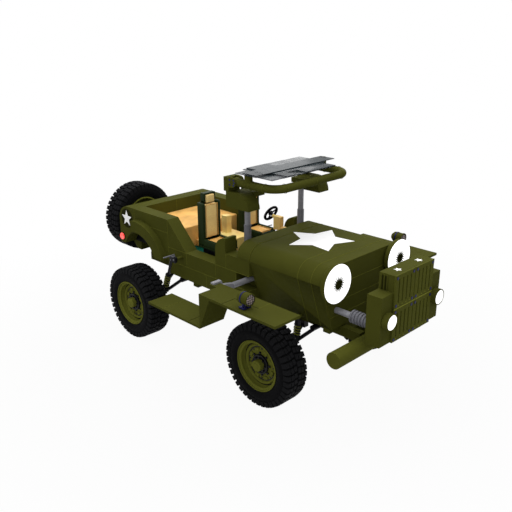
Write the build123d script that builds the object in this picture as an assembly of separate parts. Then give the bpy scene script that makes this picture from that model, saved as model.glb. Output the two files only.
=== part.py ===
from build123d import *
import math
import os

# Light army 4x4 car with its ram-driven assemblies run out: the windscreen frame
# stands on two telescopic posts, the slatted grille is pushed ahead of the bonnet,
# and the front wings stand out from the sides on lateral rams.
# Millimetres. +Z up, the car faces -Y, its left side is +X. Stations along Y are
# measured from the front axle, and the whole car is shifted at the end so that
# the origin lies at the middle of its bounding box, on the ground.

# ---------------------------------------------------------------- driving sizes
wheelbase = 2400
tyre_radius = 492
tyre_width = 315
rim_radius = 289
hub_radius = 92
spindle_radius = 30
running_gap = 0.05            # radial clearance of a shaft in its bore
seat_gap = 0.3                # gap between curved pieces that only touch
move_gap = 6                  # least gap between pieces that move past each other

body_half = 697
track_outer = body_half + 404  # outer face of a tyre from the centre plane
wall = 182                    # box-section side walls
underside_z = 927
seam_z = 1110
sill_z = 1292
ledge_z = 1474
rim_z = 1656
floor_z = 1200
floor_plate = 30
skin = 20                     # sheet thickness of bonnet and cowl

rear_outer_y = wheelbase + 712
rear_inner_y = rear_outer_y - 372
rear_edge_radius = 200
slant_top_y = wheelbase - 392
slant_foot_y = slant_top_y - 363
cowl_post_rear_y = 1086
cowl_post_front_y = 904
cowl_rear_y = 703
bonnet_rear_y = 498
bonnet_front_y = -578
bonnet_edge_radius = 182
bonnet_gap = 5
belly_half = body_half - 183  # half width of the engine bay at its bottom edge
pocket_rear_y = 724           # recess in the side wall that the lateral ram stands in
pocket_web = 15

arch_y = wheelbase + 209
arch_z = 929
arch_radius = 437
flare_radius = 590
flare_stand = 93

wing_outer = body_half + 765
wing_inner = body_half + 400
wing_top_z = 1320
wing_plate = 30
wing_front_y = -635
wing_rear_y = 489
wedge_inner = wing_inner + 12
wedge_slope = 183             # how far the wedge runs forward at its top
board_top_z = 934
board_rear_y = 1433
wing_travel = 360

grille_front_y = -1200
grille_depth = 179
grille_half = 546
grille_crown_half = 356
grille_bottom_z = 950
grille_shoulder_z = 1499
grille_top_z = 1683
grille_seam_z = 1320
grille_travel = 200
panel_thickness = 22
slot_width = 26
slots_per_panel = 5

marker_x = 448
marker_z = 1230
marker_radius = 90
marker_depth = 80
headlamp_x = body_half - 140
headlamp_z = 1500
headlamp_radius = 212
headlamp_depth = 82
headlamp_neck = 22            # keeps the lamp clear of the bonnet's opening edge

front_ram_x = 459
front_ram_z = 1150
front_ram_rod = 34
bellows_radius = 72
bellows_length = 228

side_ram_y = 575
side_ram_z = 1222
side_ram_plunger = 36
side_ram_barrel = 52
side_ram_tip = body_half + 203  # where the plunger ends in the yoke, wing run out

bumper_half = 901
bumper_y = -910
bumper_z = 839
bumper_radius = 91
rail_x = 300
rail_width = 90
rail_height = 110
rail_bottom_z = 800
hitch_half = 75
hitch_plate = 12
hitch_spacing_x = 83
hitch_spacing_z = 56
hitch_hole = 5.5

post_rod = 35
post_barrel = 43
post_x = body_half - wall - post_barrel - move_gap
post_y = cowl_rear_y + post_barrel + 13
post_barrel_top_z = 1811
post_barrel_foot_z = 1215
lift_travel = 360

cheek_bottom_z = 2056
cheek_height = 180
cheek_rear_y = 871
cheek_front_y = 507
head_plate_inner = post_x - 127
head_plate = 60

screen_tube = 47
screen_tube_x = body_half - 64
screen_cross_y = 157
screen_corner = 185
screen_z = 2348
screen_hinge_y = 775
screen_pin = 24
screen_boss = 46
glass_z = 2462
glass_plate = 8
glass_half = screen_tube_x + 12

spare_x = -182
spare_y = rear_outer_y + 271
spare_z = 1339

seat_x = 350
seat_width = 300
seat_rear_y = 1640
cushion_front_y = 1215
cushion_top_z = 1449
cushion_thickness = 110
backrest_top_z = 1900
headrest_top_z = 2012
backrest_thickness = 120
bolster_width = 49
shell_tray = 19
shell_back = 24

steering_x = post_x - post_barrel - 59
steering_y = 1182
steering_z = 1692
steering_radius = 112
steering_rim = 15
steering_tilt = 28            # degrees that the wheel leans from upright

kingpin_x = track_outer - 356
kingpin_radius = 20
knuckle_radius = 45
knuckle_height = 120
arm_radius = 22
spring_radius = 42
damper_radius = 24
hub_z = tyre_radius
front_axle_y = 0
rear_axle_y = wheelbase
tyre_x = track_outer - tyre_width / 2

# The stations of the foremost and rearmost faces fix the middle of the car.
front_end_y = grille_front_y - marker_depth
rear_end_y = spare_y + tyre_width / 2
middle_y = (front_end_y + rear_end_y) / 2

os.makedirs("parts", exist_ok=True)


def save(name, *solids):
    """Write one node, shifted so that the car's middle is at the origin."""
    shape = Compound(children=[Pos(0, -middle_y, 0) * s for item in solids
                               for s in item.solids()])
    export_step(shape, f"parts/{name}.step")


def block(x, y, z):
    """A box between two corners, each axis given as (low, high)."""
    size = [high - low for low, high in (x, y, z)]
    centre = [(high + low) / 2 for low, high in (x, y, z)]
    return Pos(*centre) * Box(*size)


def other_side(shape):
    return mirror(shape, about=Plane.YZ)


def both(shape):
    return [shape, other_side(shape)]


def rod_x(radius, x, y, z):
    """A round bar along X, between two stations."""
    return Pos((x[0] + x[1]) / 2, y, z) * Rot(0, 90, 0) * Cylinder(radius, x[1] - x[0])


def rod_y(radius, x, y, z):
    return Pos(x, (y[0] + y[1]) / 2, z) * Rot(90, 0, 0) * Cylinder(radius, y[1] - y[0])


def rod_z(radius, x, y, z):
    return Pos(x, y, (z[0] + z[1]) / 2) * Cylinder(radius, z[1] - z[0])


def strut(radius, start, end):
    """A round bar between two points."""
    start, end = Vector(*start), Vector(*end)
    return Plane(origin=start, z_dir=end - start) * Cylinder(
        radius, (end - start).length, align=(Align.CENTER, Align.CENTER, Align.MIN))


def side_plate(sketch, x):
    """Extrude a sketch in (Y, Z) between two stations along X."""
    return extrude(Plane(origin=(x[0], 0, 0), x_dir=(0, 1, 0), z_dir=(1, 0, 0)) * sketch,
                   amount=x[1] - x[0])


def cross_plate(sketch, y):
    """Extrude a sketch in (X, Z) between two stations along Y."""
    return extrude(Plane(origin=(0, y[1], 0), x_dir=(1, 0, 0), z_dir=(0, -1, 0)) * sketch,
                   amount=y[1] - y[0])


def area(*points):
    return Polygon(*points, align=None)


def rounded_top(half, top, radius, bottom):
    """Cross-section in (X, Z) with rounded upper corners."""
    shape = Pos(0, (top + bottom) / 2) * Rectangle(2 * half, top - bottom)
    return fillet(shape.vertices().filter_by_position(Axis.Y, top - 1, top + 1), radius)


# ---------------------------------------------------------------- tub
def side_wall():
    """Left side wall: rim, slanted entry edge, low sill and cowl post."""
    outline = area((bonnet_rear_y, underside_z), (slant_top_y + 11, underside_z),
                   (slant_top_y + 11, seam_z), (rear_outer_y, seam_z),
                   (rear_outer_y, rim_z), (slant_top_y, rim_z), (slant_foot_y, sill_z),
                   (cowl_post_rear_y, sill_z), (cowl_post_rear_y, rim_z),
                   (cowl_post_front_y, rim_z), (cowl_post_front_y, ledge_z),
                   (bonnet_rear_y, ledge_z))
    rear_corner = outline.vertices().sort_by_distance((rear_outer_y, rim_z))[0]
    outline = fillet(rear_corner, rear_edge_radius)
    post_corner = outline.vertices().sort_by_distance((cowl_post_rear_y, rim_z))[0]
    outline = fillet(post_corner, cowl_post_rear_y - cowl_post_front_y - 2)
    arch = Pos(arch_y, arch_z) * Circle(arch_radius)
    wall_plate = side_plate(outline - arch, (body_half - wall, body_half))
    pocket = block((body_half - wall + pocket_web, body_half + 1),
                   (bonnet_rear_y - 1, pocket_rear_y), (seam_z, sill_z))
    ram_hole = rod_x(side_ram_barrel + seat_gap, (body_half - wall - 1, body_half + 1),
                     side_ram_y, side_ram_z)
    ring = Pos(arch_y, arch_z) * (Circle(flare_radius) - Circle(arch_radius))
    above = Pos(arch_y, seam_z + flare_radius) * Rectangle(3 * flare_radius, 2 * flare_radius)
    behind = Pos(arch_y + 110 + flare_radius, arch_z) * Rectangle(2 * flare_radius,
                                                                  4 * flare_radius)
    flare = side_plate((ring & above) - behind, (body_half, body_half + flare_stand))
    return wall_plate - pocket - ram_hole + flare


def rear_wall():
    """Thick rear wall with a rounded upper edge, and the valance below it."""
    outline = area((rear_inner_y, seam_z), (rear_outer_y, seam_z), (rear_outer_y, rim_z),
                   (rear_inner_y, rim_z))
    corner = outline.vertices().sort_by_distance((rear_outer_y, rim_z))[0]
    outline = fillet(corner, rear_edge_radius)
    half = body_half - wall
    upper = side_plate(outline, (-half, half))
    valance = area((rear_inner_y + 150, underside_z + 60), (rear_outer_y - 120, underside_z + 60),
                   (rear_outer_y - 12, seam_z), (rear_inner_y + 150, seam_z))
    return upper + side_plate(valance, (-half, half))


def floor():
    half = body_half - wall
    return block((-half, half), (cowl_rear_y, rear_inner_y), (floor_z - floor_plate, floor_z))


# ---------------------------------------------------------------- cowl and engine bay
def cowl():
    """Rounded scuttle with its bulkhead down to the floor."""
    outer = rounded_top(body_half, rim_z, bonnet_edge_radius, ledge_z)
    inner = rounded_top(body_half - skin, rim_z - skin, bonnet_edge_radius - skin, ledge_z - 1)
    shell = cross_plate(outer - inner, (bonnet_rear_y, cowl_rear_y))
    half = body_half - wall
    bulkhead = block((-half, half), (cowl_rear_y - skin, cowl_rear_y), (floor_z, ledge_z))
    upper = cross_plate(rounded_top(body_half - skin, rim_z - skin, bonnet_edge_radius - skin,
                                    ledge_z), (cowl_rear_y - skin, cowl_rear_y))
    return shell + bulkhead + upper


def bonnet():
    """Lid: a flat top rolled down into both sides."""
    outer = rounded_top(body_half, rim_z, bonnet_edge_radius, ledge_z)
    inner = rounded_top(body_half - skin, rim_z - skin, bonnet_edge_radius - skin, ledge_z - 1)
    return cross_plate(outer - inner, (bonnet_front_y, bonnet_rear_y - bonnet_gap))


def bay_section(half_top, half_bottom):
    return area((-half_bottom, underside_z), (half_bottom, underside_z),
                (half_top, ledge_z - 1), (-half_top, ledge_z - 1))


def bay_sides():
    """Two side panels that lean in towards the bottom."""
    outer = bay_section(body_half, belly_half)
    inner = bay_section(body_half - skin, belly_half - skin)
    return cross_plate(outer - inner, (bonnet_front_y + skin, bonnet_rear_y))


def bay_front():
    lower = bay_section(body_half, belly_half)
    upper = rounded_top(body_half - skin - 1, rim_z - skin - 1, bonnet_edge_radius - skin - 1,
                        ledge_z - 1)
    sheet = cross_plate(lower, (bonnet_front_y, bonnet_front_y + skin))
    return sheet + cross_plate(upper, (bonnet_front_y, bonnet_front_y + skin))


def engine():
    block_shape = block((-190, 190), (-330, 330), (980, 1330))
    head = block((-120, 120), (-300, 300), (1330, 1430))
    cleaner = rod_z(110, 0, -40, (1430, 1520))
    feet = block((-330, 330), (-50, 50), (rail_bottom_z + rail_height, 1010))
    return block_shape + head + cleaner + feet


# ---------------------------------------------------------------- chassis
def chassis():
    """Two box rails with cross-members, outriggers and the towing plate."""
    rail_rear_y = rear_outer_y - 200
    rail_top_z = rail_bottom_z + rail_height
    frame = block((-hitch_half, hitch_half), (rail_rear_y, rail_rear_y + hitch_plate),
                  (rail_bottom_z - 5, rail_top_z - 5))
    hitch_z = rail_bottom_z + rail_height / 2
    for dx in (-hitch_spacing_x / 2, hitch_spacing_x / 2):
        for dz in (-hitch_spacing_z / 2, hitch_spacing_z / 2):
            frame = frame - rod_y(hitch_hole, dx, (rail_rear_y - 1, rail_rear_y + hitch_plate + 1),
                                  hitch_z + dz)
    for side in (-1, 1):
        x = (side * rail_x - rail_width / 2, side * rail_x + rail_width / 2)
        frame = frame + block(x, (bumper_y + bumper_radius + seat_gap, rail_rear_y),
                              (rail_bottom_z, rail_top_z))
        frame = frame + block(x, (rail_rear_y - 80, rail_rear_y - 10),
                              (rail_top_z, underside_z + 60))
    for y in (-500, 700, 1500, rail_rear_y - 45):
        frame = frame + block((-rail_x, rail_x), (y - 45, y + 45), (rail_bottom_z, rail_top_z))
    for y, reach in ((-500, belly_half), (700, body_half - 20), (1500, body_half - 20)):
        frame = frame + block((-reach, reach), (y - 45, y + 45), (rail_top_z - 40, underside_z))
    return frame


def bumper():
    return rod_x(bumper_radius, (-bumper_half, bumper_half), bumper_y, bumper_z)


def carrier(y):
    """Fork that holds the kingpin, with a plate for the arm and the spring."""
    half = knuckle_height / 2 + 3
    back_x = kingpin_x - knuckle_radius - 10
    fork = block((back_x - 30, back_x), (y - 50, y + 50), (hub_z - half - 30, hub_z + half + 30))
    for side in (-1, 1):
        low, high = sorted((side * half, side * (half + 28)))
        ear = block((back_x, kingpin_x), (y - 40, y + 40), (hub_z + low, hub_z + high))
        fork = fork + ear + rod_z(40, kingpin_x, y, (hub_z + low, hub_z + high))
    pin = rod_z(kingpin_radius, kingpin_x, y, (hub_z - half, hub_z + half))
    return fork + pin


def front_arm_ends():
    """Ends of the front locating bar: at the carrier and at its pivot."""
    start = Vector(kingpin_x - knuckle_radius - 35, front_axle_y, hub_z + 40)
    return start, Vector(body_half - 227, front_axle_y - 290, 830)


def rear_arm_points():
    """The rear locating bar is cranked: carrier, knee and pivot."""
    start = Vector(kingpin_x - knuckle_radius - 35, rear_axle_y, hub_z + 40)
    knee = Vector(start.X + 3, rear_axle_y - 270, hub_z + 143)
    return start, knee, Vector(body_half - 77, rear_axle_y - 565, 865)


def front_arm():
    """Bar from the carrier up to its pivot, cut flush on the carrier's plate."""
    start, end = front_arm_ends()
    bar = strut(arm_radius, start, end) - carrier(front_axle_y)
    pivot = rod_x(34, (rail_x + rail_width / 2 + seat_gap, end.X + 30), end.Y, 845)
    return bar.solids().sort_by(SortBy.VOLUME)[-1] + pivot


def rear_arm():
    start, knee, end = rear_arm_points()
    bar = strut(arm_radius, start, knee) - carrier(rear_axle_y)
    bar = bar.solids().sort_by(SortBy.VOLUME)[-1] + Pos(*knee) * Sphere(arm_radius + 6)
    pivot = rod_x(34, (rail_x + rail_width / 2 + seat_gap, end.X + 24), end.Y, 860)
    return bar + strut(arm_radius, knee, end) + pivot


def lower_arm(y):
    """Bar from the carrier in to a hanger under the rail."""
    bar = strut(arm_radius, (kingpin_x - knuckle_radius - 5, y, hub_z - 65),
                (rail_x + 30, y, rail_bottom_z - 60)) - carrier(y)
    hanger = block((rail_x - 30, rail_x + 40), (y - 40, y + 40),
                   (rail_bottom_z - 90, rail_bottom_z))
    return bar.solids().sort_by(SortBy.VOLUME)[-1] + hanger


def coil_over(lower, upper, spring_from, spring_to):
    """Damper rod and body with the spring between two shares of the length."""
    line = upper - lower
    body = strut(18, lower, upper) + strut(damper_radius, lower + line * 0.45, upper)
    return body + strut(spring_radius, lower + line * spring_from, lower + line * spring_to)


def front_coil_over():
    """Front unit on the locating bar, its top pinned to the side of the bay."""
    start, end = front_arm_ends()
    lower = start + (end - start) * 0.45
    upper = Vector(belly_half + 66, front_axle_y - 150, 965)
    pin = rod_x(18, (belly_half + 1, upper.X + 26), upper.Y, upper.Z) - bay_sides()
    eye = rod_x(30, (upper.X - 20, upper.X + 20), upper.Y, upper.Z)
    cap = strut(34, upper + (lower - upper) * 0.32, upper + (lower - upper) * 0.05)
    unit = coil_over(lower, upper, 0.2, 0.7) - strut(arm_radius + seat_gap, start, end)
    return unit + cap + pin + eye


def rear_coil_over():
    """Rear unit outboard of the side wall, with a pin from the wall and a claw."""
    start, knee, end = rear_arm_points()
    lower = Vector(knee.X + 34, knee.Y - 8, knee.Z + 18)
    upper = Vector(body_half + 118, rear_axle_y - 600, 1190)
    foot = rod_x(16, (knee.X, lower.X + 18), knee.Y, knee.Z)
    pin_y, pin_z = rear_axle_y - 675, 1218
    pin = rod_x(22, (body_half, upper.X + 21), pin_y, pin_z)
    clamp = block((upper.X - 21, upper.X + 21), (pin_y - 26, upper.Y + 20), (1172, 1250))
    claw = block((upper.X - 21, upper.X + 160), (pin_y + 10, pin_y + 46), (1262, 1284))
    web = block((upper.X - 21, upper.X + 21), (pin_y + 10, pin_y + 46), (1240, 1270))
    unit = coil_over(lower, upper, 0.1, 0.5) + foot + pin + clamp + claw + web
    room = Pos(*knee) * Sphere(arm_radius + 6 + seat_gap)
    for tip in (start, end):
        room = room + strut(arm_radius + 2 * seat_gap, knee + (tip - knee) * 0.02, tip)
    unit = unit - room
    return unit.solids().sort_by(SortBy.VOLUME)[-1]


# ---------------------------------------------------------------- wheels
def tyre():
    """Tyre carcass with rounded shoulders about the Z axis, bored to sit on the rim."""
    section = Pos((tyre_radius + rim_radius) / 2, 0) * Rectangle(tyre_radius - rim_radius,
                                                                 tyre_width)
    outer = section.vertices().filter_by_position(Axis.X, tyre_radius - 1, tyre_radius + 1)
    section = fillet(outer, 45)
    return revolve(Plane.XZ * section, Axis.Z)


def rim():
    """Dished rim about the Z axis, its outer face up, with a bored hub for the spindle."""
    barrel = Cylinder(rim_radius - seat_gap, tyre_width - 30) - Cylinder(rim_radius - 14, tyre_width)
    disc = Pos(0, 0, 40) * Cylinder(rim_radius - 10, 18)
    hub = Pos(0, 0, 10) * Cylinder(hub_radius, 100) + Pos(0, 0, 92) * Cylinder(66, 64)
    bore = Pos(0, 0, -15) * Cylinder(spindle_radius + running_gap, 140)
    return barrel + disc + hub - bore


def knuckle(y):
    """Barrel that turns on the kingpin, and the spindle that the wheel turns on."""
    barrel = rod_z(knuckle_radius, kingpin_x, y,
                   (hub_z - knuckle_height / 2, hub_z + knuckle_height / 2))
    spindle = rod_x(spindle_radius, (kingpin_x + 30, tyre_x + 50), y, hub_z)
    bore = rod_z(kingpin_radius + running_gap, kingpin_x, y,
                 (hub_z - knuckle_height, hub_z + knuckle_height))
    return barrel + spindle - bore


# ---------------------------------------------------------------- wings
def wing():
    """Flat wing plate, the wedge that closes its rear and the running board."""
    plate = block((wing_inner, wing_outer), (wing_front_y, wing_rear_y),
                  (wing_top_z - wing_plate, wing_top_z))
    wedge = side_plate(area((wing_rear_y, board_top_z - wing_plate), (wing_rear_y, wing_top_z),
                            (wing_rear_y - wedge_slope, wing_top_z)), (wedge_inner, wing_outer))
    board = block((wedge_inner, wing_outer), (wing_rear_y, board_rear_y),
                  (board_top_z - wing_plate, board_top_z))
    tab = block((wing_inner, wing_inner + 110), (wing_rear_y, side_ram_y + 32),
                (wing_top_z - wing_plate, wing_top_z))
    return plate + wedge + board + tab


def side_ram_rod():
    """Plunger of the lateral ram and the yoke that carries the wing's tab."""
    reach = wing_travel + body_half + move_gap
    outline = area((side_ram_tip - 2, side_ram_z - 34), (reach, side_ram_z - 10),
                   (wing_inner - 2, wing_top_z - wing_plate), (wing_inner, wing_top_z),
                   (wing_inner + 92, wing_top_z), (wing_inner + 92, wing_top_z + 22),
                   (reach + 9, wing_top_z + 22), (reach, sill_z - move_gap),
                   (side_ram_tip - 2, side_ram_z + 34))
    yoke = cross_plate(outline, (side_ram_y - 26, side_ram_y + 26))
    plunger = rod_x(side_ram_plunger, (side_ram_inner() - 90, side_ram_tip), side_ram_y,
                    side_ram_z)
    return yoke + plunger


def side_ram_inner():
    """Outer end of the fixed tube: the yoke comes back to it when the wing is in."""
    return side_ram_tip - wing_travel - 4


def side_ram_tube():
    inner_end = side_ram_inner() - 90 - wing_travel - 40
    tube = rod_x(side_ram_barrel, (inner_end, side_ram_inner()), side_ram_y, side_ram_z)
    bore = rod_x(side_ram_plunger + running_gap, (inner_end + 20, side_ram_inner() + 1),
                 side_ram_y, side_ram_z)
    return tube - bore


# ---------------------------------------------------------------- grille
def grille_block():
    back_y = grille_front_y + grille_depth
    lower = block((-grille_half, grille_half), (grille_front_y, back_y),
                  (grille_bottom_z, grille_shoulder_z))
    crown = block((-grille_crown_half, grille_crown_half), (grille_front_y, back_y),
                  (grille_shoulder_z, grille_top_z))
    return lower + crown


def grille_panels():
    """Four slatted panels, two above and two below the seam rail."""
    panels = []
    for x0, x1 in ((-grille_crown_half, -4), (4, grille_crown_half)):
        for z0, z1 in ((grille_bottom_z, grille_seam_z - 6), (grille_seam_z + 6, grille_top_z)):
            panel = block((x0, x1), (grille_front_y - panel_thickness, grille_front_y), (z0, z1))
            step = (x1 - x0 - 40) / slots_per_panel
            for i in range(slots_per_panel):
                x = x0 + 20 + (i + 0.5) * step
                panel = panel - block((x - slot_width / 2, x + slot_width / 2),
                                      (grille_front_y - panel_thickness - 1, grille_front_y - 6),
                                      (z0 + 45, z1 - 30))
            panels.append(panel)
    return panels


def marker_lamps():
    return both(rod_y(marker_radius, marker_x, (grille_front_y - marker_depth, grille_front_y),
                      marker_z))


def bellows():
    """Ribbed gaiter tube on the back of the grille, bored for the ram rod."""
    back_y = grille_front_y + grille_depth
    shape = rod_y(bellows_radius - 10, front_ram_x, (back_y, back_y + bellows_length), front_ram_z)
    ribs = 6
    pitch = bellows_length / ribs
    for i in range(ribs):
        y = back_y + (i + 0.5) * pitch
        shape = shape + rod_y(bellows_radius, front_ram_x, (y - pitch / 4, y + pitch / 4),
                              front_ram_z)
    bore = rod_y(front_ram_rod + running_gap, front_ram_x,
                 (back_y + 5, back_y + bellows_length + 1), front_ram_z)
    return both(shape - bore)


def front_ram_rods():
    tip_y = grille_front_y + grille_depth + bellows_length - 22
    return both(rod_y(front_ram_rod, front_ram_x, (tip_y, bonnet_front_y), front_ram_z))


def headlamps():
    """Drum lamps, each on a short neck at the front of the engine bay."""
    back = bonnet_front_y - headlamp_neck
    front = back - headlamp_depth
    lamp = rod_y(headlamp_radius, headlamp_x, (front, back), headlamp_z)
    lamp = lamp + rod_y(110, headlamp_x, (back, bonnet_front_y), headlamp_z)
    lamp = lamp - rod_y(95, headlamp_x, (front - 1, front + 40), headlamp_z)
    return both(lamp)


# ---------------------------------------------------------------- raised windscreen
def post_barrels():
    tube = rod_z(post_barrel, post_x, post_y, (post_barrel_foot_z, post_barrel_top_z))
    bore = rod_z(post_rod + running_gap, post_x, post_y,
                 (post_barrel_foot_z + 15, post_barrel_top_z + 1))
    foot = block((post_x - 75, post_x + post_barrel + 5), (cowl_rear_y, post_y + 75),
                 (floor_z, post_barrel_foot_z))
    return both(tube - bore + foot)


def post_rods():
    top = cheek_bottom_z + cheek_height - head_plate
    return both(rod_z(post_rod, post_x, post_y, (post_barrel_top_z - 110, top)))


def lift_head():
    """Quarter-round cheek, head plate over the post and the hinge block."""
    top = cheek_bottom_z + cheek_height
    outline = area((cheek_front_y, cheek_bottom_z), (cheek_rear_y, cheek_bottom_z),
                   (cheek_rear_y, top), (cheek_front_y, top))
    corner = outline.vertices().sort_by_distance((cheek_front_y, top))[0]
    cheek = side_plate(fillet(corner, cheek_height - 2), (body_half - wall, body_half))
    plate = block((head_plate_inner, body_half - wall), (cheek_front_y + 100, cheek_rear_y - 60),
                  (top - head_plate, top))
    hinge_y = screen_hinge_y + screen_boss + move_gap
    hinge = block((body_half - wall + 5, body_half), (hinge_y, cheek_rear_y + 34), (top, top + 164))
    bore = rod_x(screen_pin + running_gap, (0, body_half + 1), screen_hinge_y, screen_z)
    shape = cheek + plate + hinge
    for x in ear_stations():
        ear = block(x, (screen_hinge_y, hinge_y), (screen_z - 60, screen_z + 60))
        shape = shape + ear + rod_x(60, x, screen_hinge_y, screen_z)
    return shape - bore


def ear_stations():
    """The outer and inner hinge ears beside the tube's boss."""
    outer = (screen_tube_x + screen_tube + 3, body_half)
    inner = (screen_tube_x - screen_tube - 33, screen_tube_x - screen_tube - 3)
    return outer, inner


def screen_frame():
    """U-shaped tube, its pivot pins and the two stubs that carry the glass."""
    pin = rod_x(screen_pin, (ear_stations()[1][0], body_half), screen_hinge_y, screen_z)
    pin = pin + rod_x(screen_boss, (screen_tube_x - screen_tube, screen_tube_x + screen_tube),
                      screen_hinge_y, screen_z)
    arm_rear = screen_hinge_y - 12
    path = FilletPolyline((screen_tube_x, arm_rear, screen_z),
                          (screen_tube_x, screen_cross_y, screen_z),
                          (-screen_tube_x, screen_cross_y, screen_z),
                          (-screen_tube_x, arm_rear, screen_z), radius=screen_corner)
    tube = sweep(Plane(origin=path @ 0, z_dir=path % 0) * Circle(screen_tube), path=path)
    shape = tube + pin + other_side(pin)
    for side, top in ((-1, glass_z), (1, glass_z + 2 * glass_plate)):
        shape = shape + rod_z(screen_tube - 1, side * screen_tube_x, 565, (screen_z, top))
    return shape


def screen_glass():
    """Three layers of plates that lie flat on each other, as when folded up."""
    front, middle, rear = 155, 383, 785
    half = glass_half + 50
    short, long = glass_half - 274, glass_half - 190
    low = [((-half + 16, -510), (front + 8, middle)), ((-half, -510), (middle, 715)),
           ((-510, -190), (front, middle)), ((-510, -190), (middle, rear)),
           ((-190, 130), (front, middle)), ((-190, 130), (middle, rear)),
           ((130, short), (front, middle)), ((130, long), (middle, rear))]
    centre = [((-455, -305), (front, rear)), ((-305, -135), (300, rear)),
              ((-135, short), (front, middle)), ((-135, long), (middle, rear))]
    top = [((-half + 3, -130), (middle, 600)), ((-130, glass_half - 9), (middle, 600))]
    plates = []
    for layer, boxes in enumerate((low, centre, top)):
        z = glass_z + layer * glass_plate
        plates += [block(x, y, (z, z + glass_plate)) for x, y in boxes]
    return plates


# ---------------------------------------------------------------- cabin
def seat_pads(side):
    """Cushion, back pad and headrest, each resting against the shell."""
    x = side * seat_x
    half = seat_width / 2 - bolster_width
    front = seat_rear_y - backrest_thickness
    rear = seat_rear_y - shell_back
    low = cushion_top_z - cushion_thickness + shell_tray
    cushion = block((x - half, x + half), (cushion_front_y, front), (low, cushion_top_z))
    back = block((x - half, x + half), (front, rear), (cushion_top_z, backrest_top_z))
    rest = block((x - 62, x + 62), (rear - 84, rear), (backrest_top_z, headrest_top_z))
    return [cushion, back, rest]


def seat_shell(side):
    """Base tray, side bolsters and back panel."""
    x = side * seat_x
    half = seat_width / 2
    low = cushion_top_z - cushion_thickness
    top = backrest_top_z + 20
    front = seat_rear_y - backrest_thickness
    hood = block((x - 94, x + 94), (seat_rear_y - shell_back - 60, seat_rear_y),
                 (backrest_top_z, headrest_top_z + 22))
    hood = hood - block((x - 62, x + 62), (seat_rear_y - shell_back - 61, seat_rear_y - shell_back),
                        (backrest_top_z - 1, headrest_top_z))
    hood = hood - block((x - 95, x + 95), (seat_rear_y - shell_back - 61, seat_rear_y - shell_back),
                        (backrest_top_z - 1, top))
    tray = block((x - half, x + half), (cushion_front_y, seat_rear_y), (low, low + shell_tray))
    back = block((x - half, x + half), (seat_rear_y - shell_back, seat_rear_y), (low, top))
    shape = tray + back + hood
    for edge in (-1, 1):
        x0, x1 = sorted((x + edge * half, x + edge * (half - bolster_width)))
        shape = shape + block((x0, x1), (cushion_front_y, front), (low, cushion_top_z + 10))
        shape = shape + block((x0, x1), (front, seat_rear_y), (low, top))
    return shape


def seat_slide(side):
    x = side * seat_x
    return block((x - 100, x + 100), (1330, 1600), (floor_z, cushion_top_z - cushion_thickness))


def rear_deck():
    half = body_half - wall
    return block((-half, half), (slant_top_y - 18, rear_inner_y), (floor_z, 1487))


def step():
    return block((-250, 250), (slant_top_y - 178, slant_top_y - 18), (floor_z, sill_z))


def console():
    base = block((-130, 130), (1330, 1700), (floor_z, 1421))
    return base + block((-50, 42), (1590, 1690), (1421, 1652))


def dash():
    """Instrument pad under the cowl's rear edge, with the binnacle."""
    half = post_x - post_barrel - 5
    shelf = block((-half, half), (cowl_rear_y, cowl_rear_y + 20), (ledge_z - 150, rim_z - 60))
    beam = block((steering_x - 25, steering_x + 25), (cowl_rear_y + 20, 985), (1500, 1552))
    binnacle = block((steering_x - 32, steering_x + 32), (985, 1105), (1500, 1680))
    centre = Vector(steering_x, steering_y, steering_z)
    axis = steering_axis()
    return shelf + beam + binnacle - strut(22 + seat_gap, centre - axis * 180.3, centre)


def steering_axis():
    lean = math.radians(steering_tilt)
    return Vector(0, math.cos(lean), math.sin(lean))


def steering_column():
    centre = Vector(steering_x, steering_y, steering_z)
    axis = steering_axis()
    tube = strut(22, centre - axis * 180, centre - axis * 40)
    return tube - strut(14 + running_gap, centre - axis * 90, centre)


def steering_wheel():
    """Thin rim, three spokes and boss, square to the column."""
    ring = Torus(steering_radius - steering_rim, steering_rim)
    boss = Cylinder(26, 30)
    stub = Pos(0, 0, -45) * Cylinder(14, 60)
    wheel = ring + boss + stub
    for angle in (90, 210, 330):
        spoke = Rot(0, 0, angle) * Pos((steering_radius - steering_rim) / 2, 0, 0) * Box(
            steering_radius - steering_rim, 20, 8)
        wheel = wheel + spoke
    place = Plane(origin=(steering_x, steering_y, steering_z), x_dir=(1, 0, 0),
                  z_dir=steering_axis())
    return place * wheel


def fender_lamp(side):
    lamp_x, lamp_y, lamp_z = 1363, -208, 1430
    body = rod_y(68, lamp_x, (lamp_y, lamp_y + 165), lamp_z)
    foot = block((lamp_x - 30, lamp_x + 30), (lamp_y + 40, lamp_y + 130), (wing_top_z, lamp_z))
    shape = body + foot
    return shape if side > 0 else other_side(shape)


def tail_lamps():
    return both(rod_x(50, (body_half, body_half + 35), 3055, 1202))


def spare_carrier():
    """Post on the rear wall with the flange and stud that hold the spare wheel."""
    hub_face = spare_y - 40
    post = rod_y(70, spare_x, (rear_outer_y, hub_face), spare_z)
    flange = rod_y(hub_radius, spare_x, (hub_face - 20, hub_face), spare_z)
    return post + flange + rod_y(spindle_radius - seat_gap, spare_x, (hub_face, spare_y + 50),
                                 spare_z)


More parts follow.
